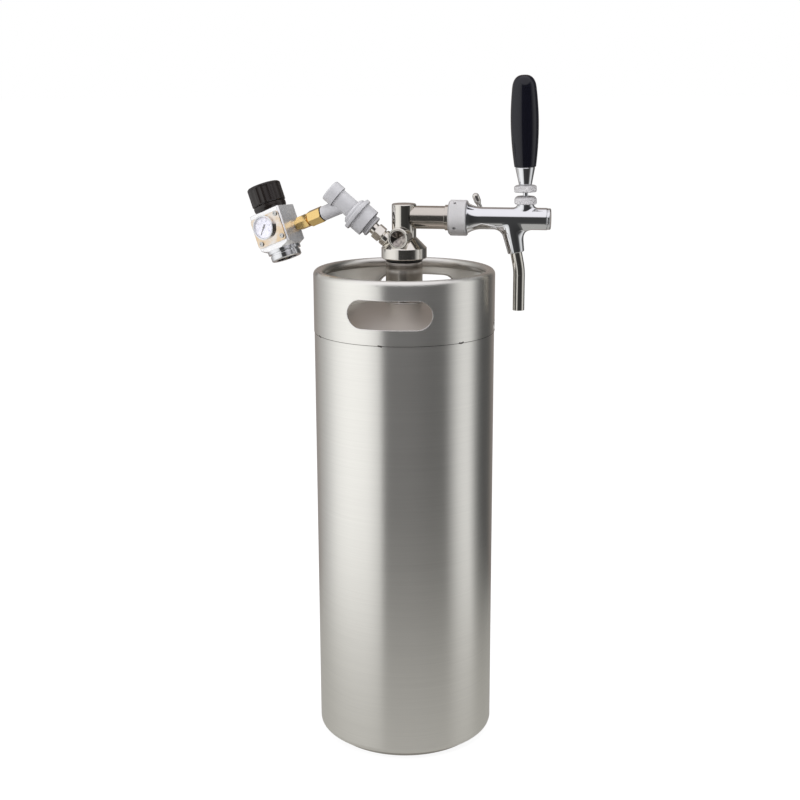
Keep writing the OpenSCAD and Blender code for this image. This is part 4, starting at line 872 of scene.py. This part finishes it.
def shank_tube():
    """The shank's tube ends in a straight step in front of the column, not in a point."""
    mesh = copied("shank", "shank_tube")
    bm = bmesh.new()
    bm.from_mesh(mesh)
    cut_at(bm, SHANK_STEP * MM)
    bm.to_mesh(mesh)
    bm.free()
    stand_in("shank_tube", mesh, "shank", SHANK_STEEL, 30)


# ---------------------------------------------------------------- the tap's casting
# From the arm's axis: a flared trunk, the spout's boss, the bonnet's neck and the flow lever's
# boss, melted into each other with cast fillets. The trunk's tail is a plain cylinder.
TAIL_START, TAIL_R = 53.0, 14.1
TAP_START, TAP_END, TAP_R, TAP_SHOULDER_R, FLARE_LEN = 61.9, 137.9, 10.5, 14.7, 14.0
SPOUT_X, SPOUT_LEAN, SPOUT_BOSS_LEN, SPOUT_BOSS_R = 102.4, 11.0, 32.9, 7.9
SPOUT_FOOT_R, SPOUT_TAPER = 10.0, 12.5
FLOW_X, FLOW_BOSS_R, FLOW_BOSS_Y = 75.3, 6.6, 12.5
NECK_R, NECK_TOP = 7.6, 16.7
SPOUT_FILLET, NECK_FILLET, FLOW_FILLET = 10.0, 5.0, 3.0
VOXEL = 0.7


def smooth_max(a, b, k):
    h = np.maximum(k - np.abs(a - b), 0) / k
    return np.maximum(a, b) + h * h * k / 4


def trunk(p):
    """Distance of each point to the trunk, negative inside it."""
    rise = TAP_SHOULDER_R - TAP_R
    arc = (FLARE_LEN**2 + rise**2) / (2 * rise)
    reach = np.clip(TAP_START + FLARE_LEN - p[:, 0], 0, FLARE_LEN)
    radius = TAP_R + arc - np.sqrt(arc**2 - reach**2)
    return smooth_max(np.hypot(p[:, 1], p[:, 2]) - radius, p[:, 0] - TAP_END, 0.8)


# Each form on the trunk gives the distance to its outside, and to the plane where it starts
def spout_boss(p):
    lean = math.radians(SPOUT_LEAN)
    axis = np.array((math.sin(lean), 0.0, -math.cos(lean)))
    q = p - np.array((SPOUT_X, 0, 0))
    t = q @ axis
    d = np.linalg.norm(q - t[:, None] * axis, axis=1)
    down = np.clip((t - SPOUT_TAPER) / (SPOUT_BOSS_LEN - SPOUT_TAPER), 0, 1)
    radius = SPOUT_FOOT_R + (SPOUT_BOSS_R - SPOUT_FOOT_R) * down
    return smooth_max(d - radius, t - SPOUT_BOSS_LEN, 1.0), -t


def bonnet_neck(p):
    d = np.hypot(p[:, 0] - LEVER_X, p[:, 1])
    return smooth_max(d - NECK_R, p[:, 2] - NECK_TOP, 0.6), -p[:, 2]


def flow_boss(p):
    d = np.hypot(p[:, 0] - FLOW_X, p[:, 2])
    return smooth_max(d - FLOW_BOSS_R, p[:, 1] - FLOW_BOSS_Y, 0.6), -p[:, 1]


def slope(form, p):
    """The direction in which a form's distance grows at each point."""
    step = 0.02
    rises = [form(p + step * e) - form(p - step * e) for e in np.eye(3)]
    g = np.stack(rises, axis=1) / (2 * step)
    return g / np.maximum(np.linalg.norm(g, axis=1), 1e-9)[:, None]


def casting(p):
    """Distance of each point to the whole casting, fillets included."""
    value, normal = trunk(p), slope(trunk, p)
    joined = ((spout_boss, SPOUT_FILLET), (bonnet_neck, NECK_FILLET), (flow_boss, FLOW_FILLET))
    for form, fillet in joined:
        side, root = form(p)
        other = np.maximum(side, root)
        # No fillet where the two faces run the same way, so that nothing bulges there
        alike = np.sum(normal * slope(lambda q: form(q)[0], p), axis=1)
        k = fillet * np.clip(1 - alike, 0.02, 1)
        h = np.maximum(k - np.abs(value - other), 0) / k
        value = np.minimum(value, other) - h * h * k / 4
    return value


def rough_casting():
    """Rods where the forms are, merged into one even mesh."""
    shift = Matrix.Translation
    spout = shift((SPOUT_X, 0, 0)) @ turned("Y", 180 - SPOUT_LEAN)
    rods = (
        (TAP_R, TAP_R, TAP_END - TAP_START, shift(((TAP_START + TAP_END) / 2, 0, 0)), "Y"),
        (14.5, TAP_R, 16.0, shift((TAP_START + 4, 0, 0)), "Y"),
        (10.0, 8.0, SPOUT_BOSS_LEN, spout @ shift((0, 0, SPOUT_BOSS_LEN / 2)), None),
        (NECK_R, NECK_R, NECK_TOP, shift((LEVER_X, 0, NECK_TOP / 2)), None),
        (FLOW_BOSS_R, FLOW_BOSS_R, FLOW_BOSS_Y, shift((FLOW_X, FLOW_BOSS_Y / 2, 0)), "X"),
    )
    bm = bmesh.new()
    for r1, r2, depth, where, axis in rods:
        where = where @ turned(axis, 90) if axis else where
        bmesh.ops.create_cone(
            bm, radius1=r1, radius2=r2, depth=depth, matrix=where, cap_ends=True, segments=48
        )
    rough = bpy.data.meshes.new("tap_rough")
    bm.to_mesh(rough)
    bm.free()
    o = add_object("tap_rough", rough)
    remesh = o.modifiers.new("remesh", "REMESH")
    remesh.mode = "VOXEL"
    remesh.voxel_size = VOXEL
    mesh = evaluated(o)
    bpy.data.objects.remove(o)
    return mesh


def tap_casting():
    """The rough casting's points, evened out and drawn onto the exact form."""
    mesh = rough_casting()
    mesh.name = "tap_casting"
    p = np.empty(len(mesh.vertices) * 3)
    mesh.vertices.foreach_get("co", p)
    p = p.reshape(-1, 3)
    ends = np.empty(len(mesh.edges) * 2, dtype=np.int32)
    mesh.edges.foreach_get("vertices", ends)
    ends = ends.reshape(-1, 2)
    joins = np.bincount(ends.ravel(), minlength=len(p))[:, None]
    rounds, evened, most = 9, 6, 0.6
    for turn in range(rounds):
        if turn < evened:
            mean = np.zeros_like(p)
            np.add.at(mean, ends[:, 0], p[ends[:, 1]])
            np.add.at(mean, ends[:, 1], p[ends[:, 0]])
            p = p + 0.6 * (mean / joins - p)
        for _ in range(2):
            p = p - np.clip(casting(p), -most, most)[:, None] * slope(casting, p)
    mesh.vertices.foreach_set("co", p.ravel())
    bm = bmesh.new()
    bm.from_mesh(mesh)
    cut_at(bm, TAP_START)
    bmesh.ops.create_cone(
        bm,
        radius1=TAIL_R,
        radius2=TAIL_R,
        depth=TAP_START - TAIL_START,
        matrix=Matrix.Translation(((TAP_START + TAIL_START) / 2, 0, 0)) @ turned("Y", 90),
        cap_ends=True,
        segments=72,
    )
    bm.to_mesh(mesh)
    bm.free()
    mesh.transform(move(0, 0, ARM_Z) @ Matrix.Scale(MM, 4))
    mesh.materials.clear()
    mesh.update()
    stand_in("tap_casting", mesh, "faucet_body", TAP_CHROME, 60)


# ---------------------------------------------------------------- the regulator's block
# Edges further out than this are the block's own, not those of its chamber
BLOCK_INNER_R = 12.0
BLOCK_ROUND = 1.8


def round_block():
    """The regulator's cast block with its top edge rounded."""
    mesh = copied("regulator_body", "regulator_block")
    bm = bmesh.new()
    bm.from_mesh(mesh)
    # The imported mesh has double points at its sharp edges, which have to be joined first
    bmesh.ops.remove_doubles(bm, verts=bm.verts[:], dist=0.00001)
    flat = math.radians(0.5)
    bmesh.ops.dissolve_limit(bm, angle_limit=flat, verts=bm.verts[:], edges=bm.edges[:])
    to_block = REGULATOR.inverted()
    at_block = {v: to_block @ v.co / MM for v in bm.verts}
    top = max(c.z for c in at_block.values())

    def on_rim(v):
        return top - at_block[v].z < 0.01 and at_block[v].xy.length > BLOCK_INNER_R

    sharp = math.radians(60)
    rim = [e for e in bm.edges if all(map(on_rim, e.verts)) and e.calc_face_angle(0.0) > sharp]
    bmesh.ops.bevel(
        bm,
        geom=rim,
        offset=BLOCK_ROUND * MM,
        segments=4,
        profile=0.5,
        affect="EDGES",
        clamp_overlap=True,
    )
    bm.to_mesh(mesh)
    bm.free()
    stand_in("regulator_block", mesh, "regulator_body", MATERIALS["alloy"], 25)


def spring_coil(node, name):
    """A wound spring in the node's place, as a copy of its mesh with data of its own."""
    mesh = copied(node, name)
    o = stand_in(name, mesh, node, MATERIALS["spring_steel"], 60)
    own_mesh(o)


dial_print()
handle_grip()
shank_tube()
tap_casting()
round_block()
seam_gap_shade()
seam_welds()
slot_rim("slot_rim_front", -1)
slot_rim("slot_rim_back", 1)
neck_weld()
spring_coil("relief_spring", "relief_coil")
spring_coil("post_spring", "post_coil")
spring_coil("collar_spring", "collar_coil")
spring_coil("pin_spring", "pin_coil")
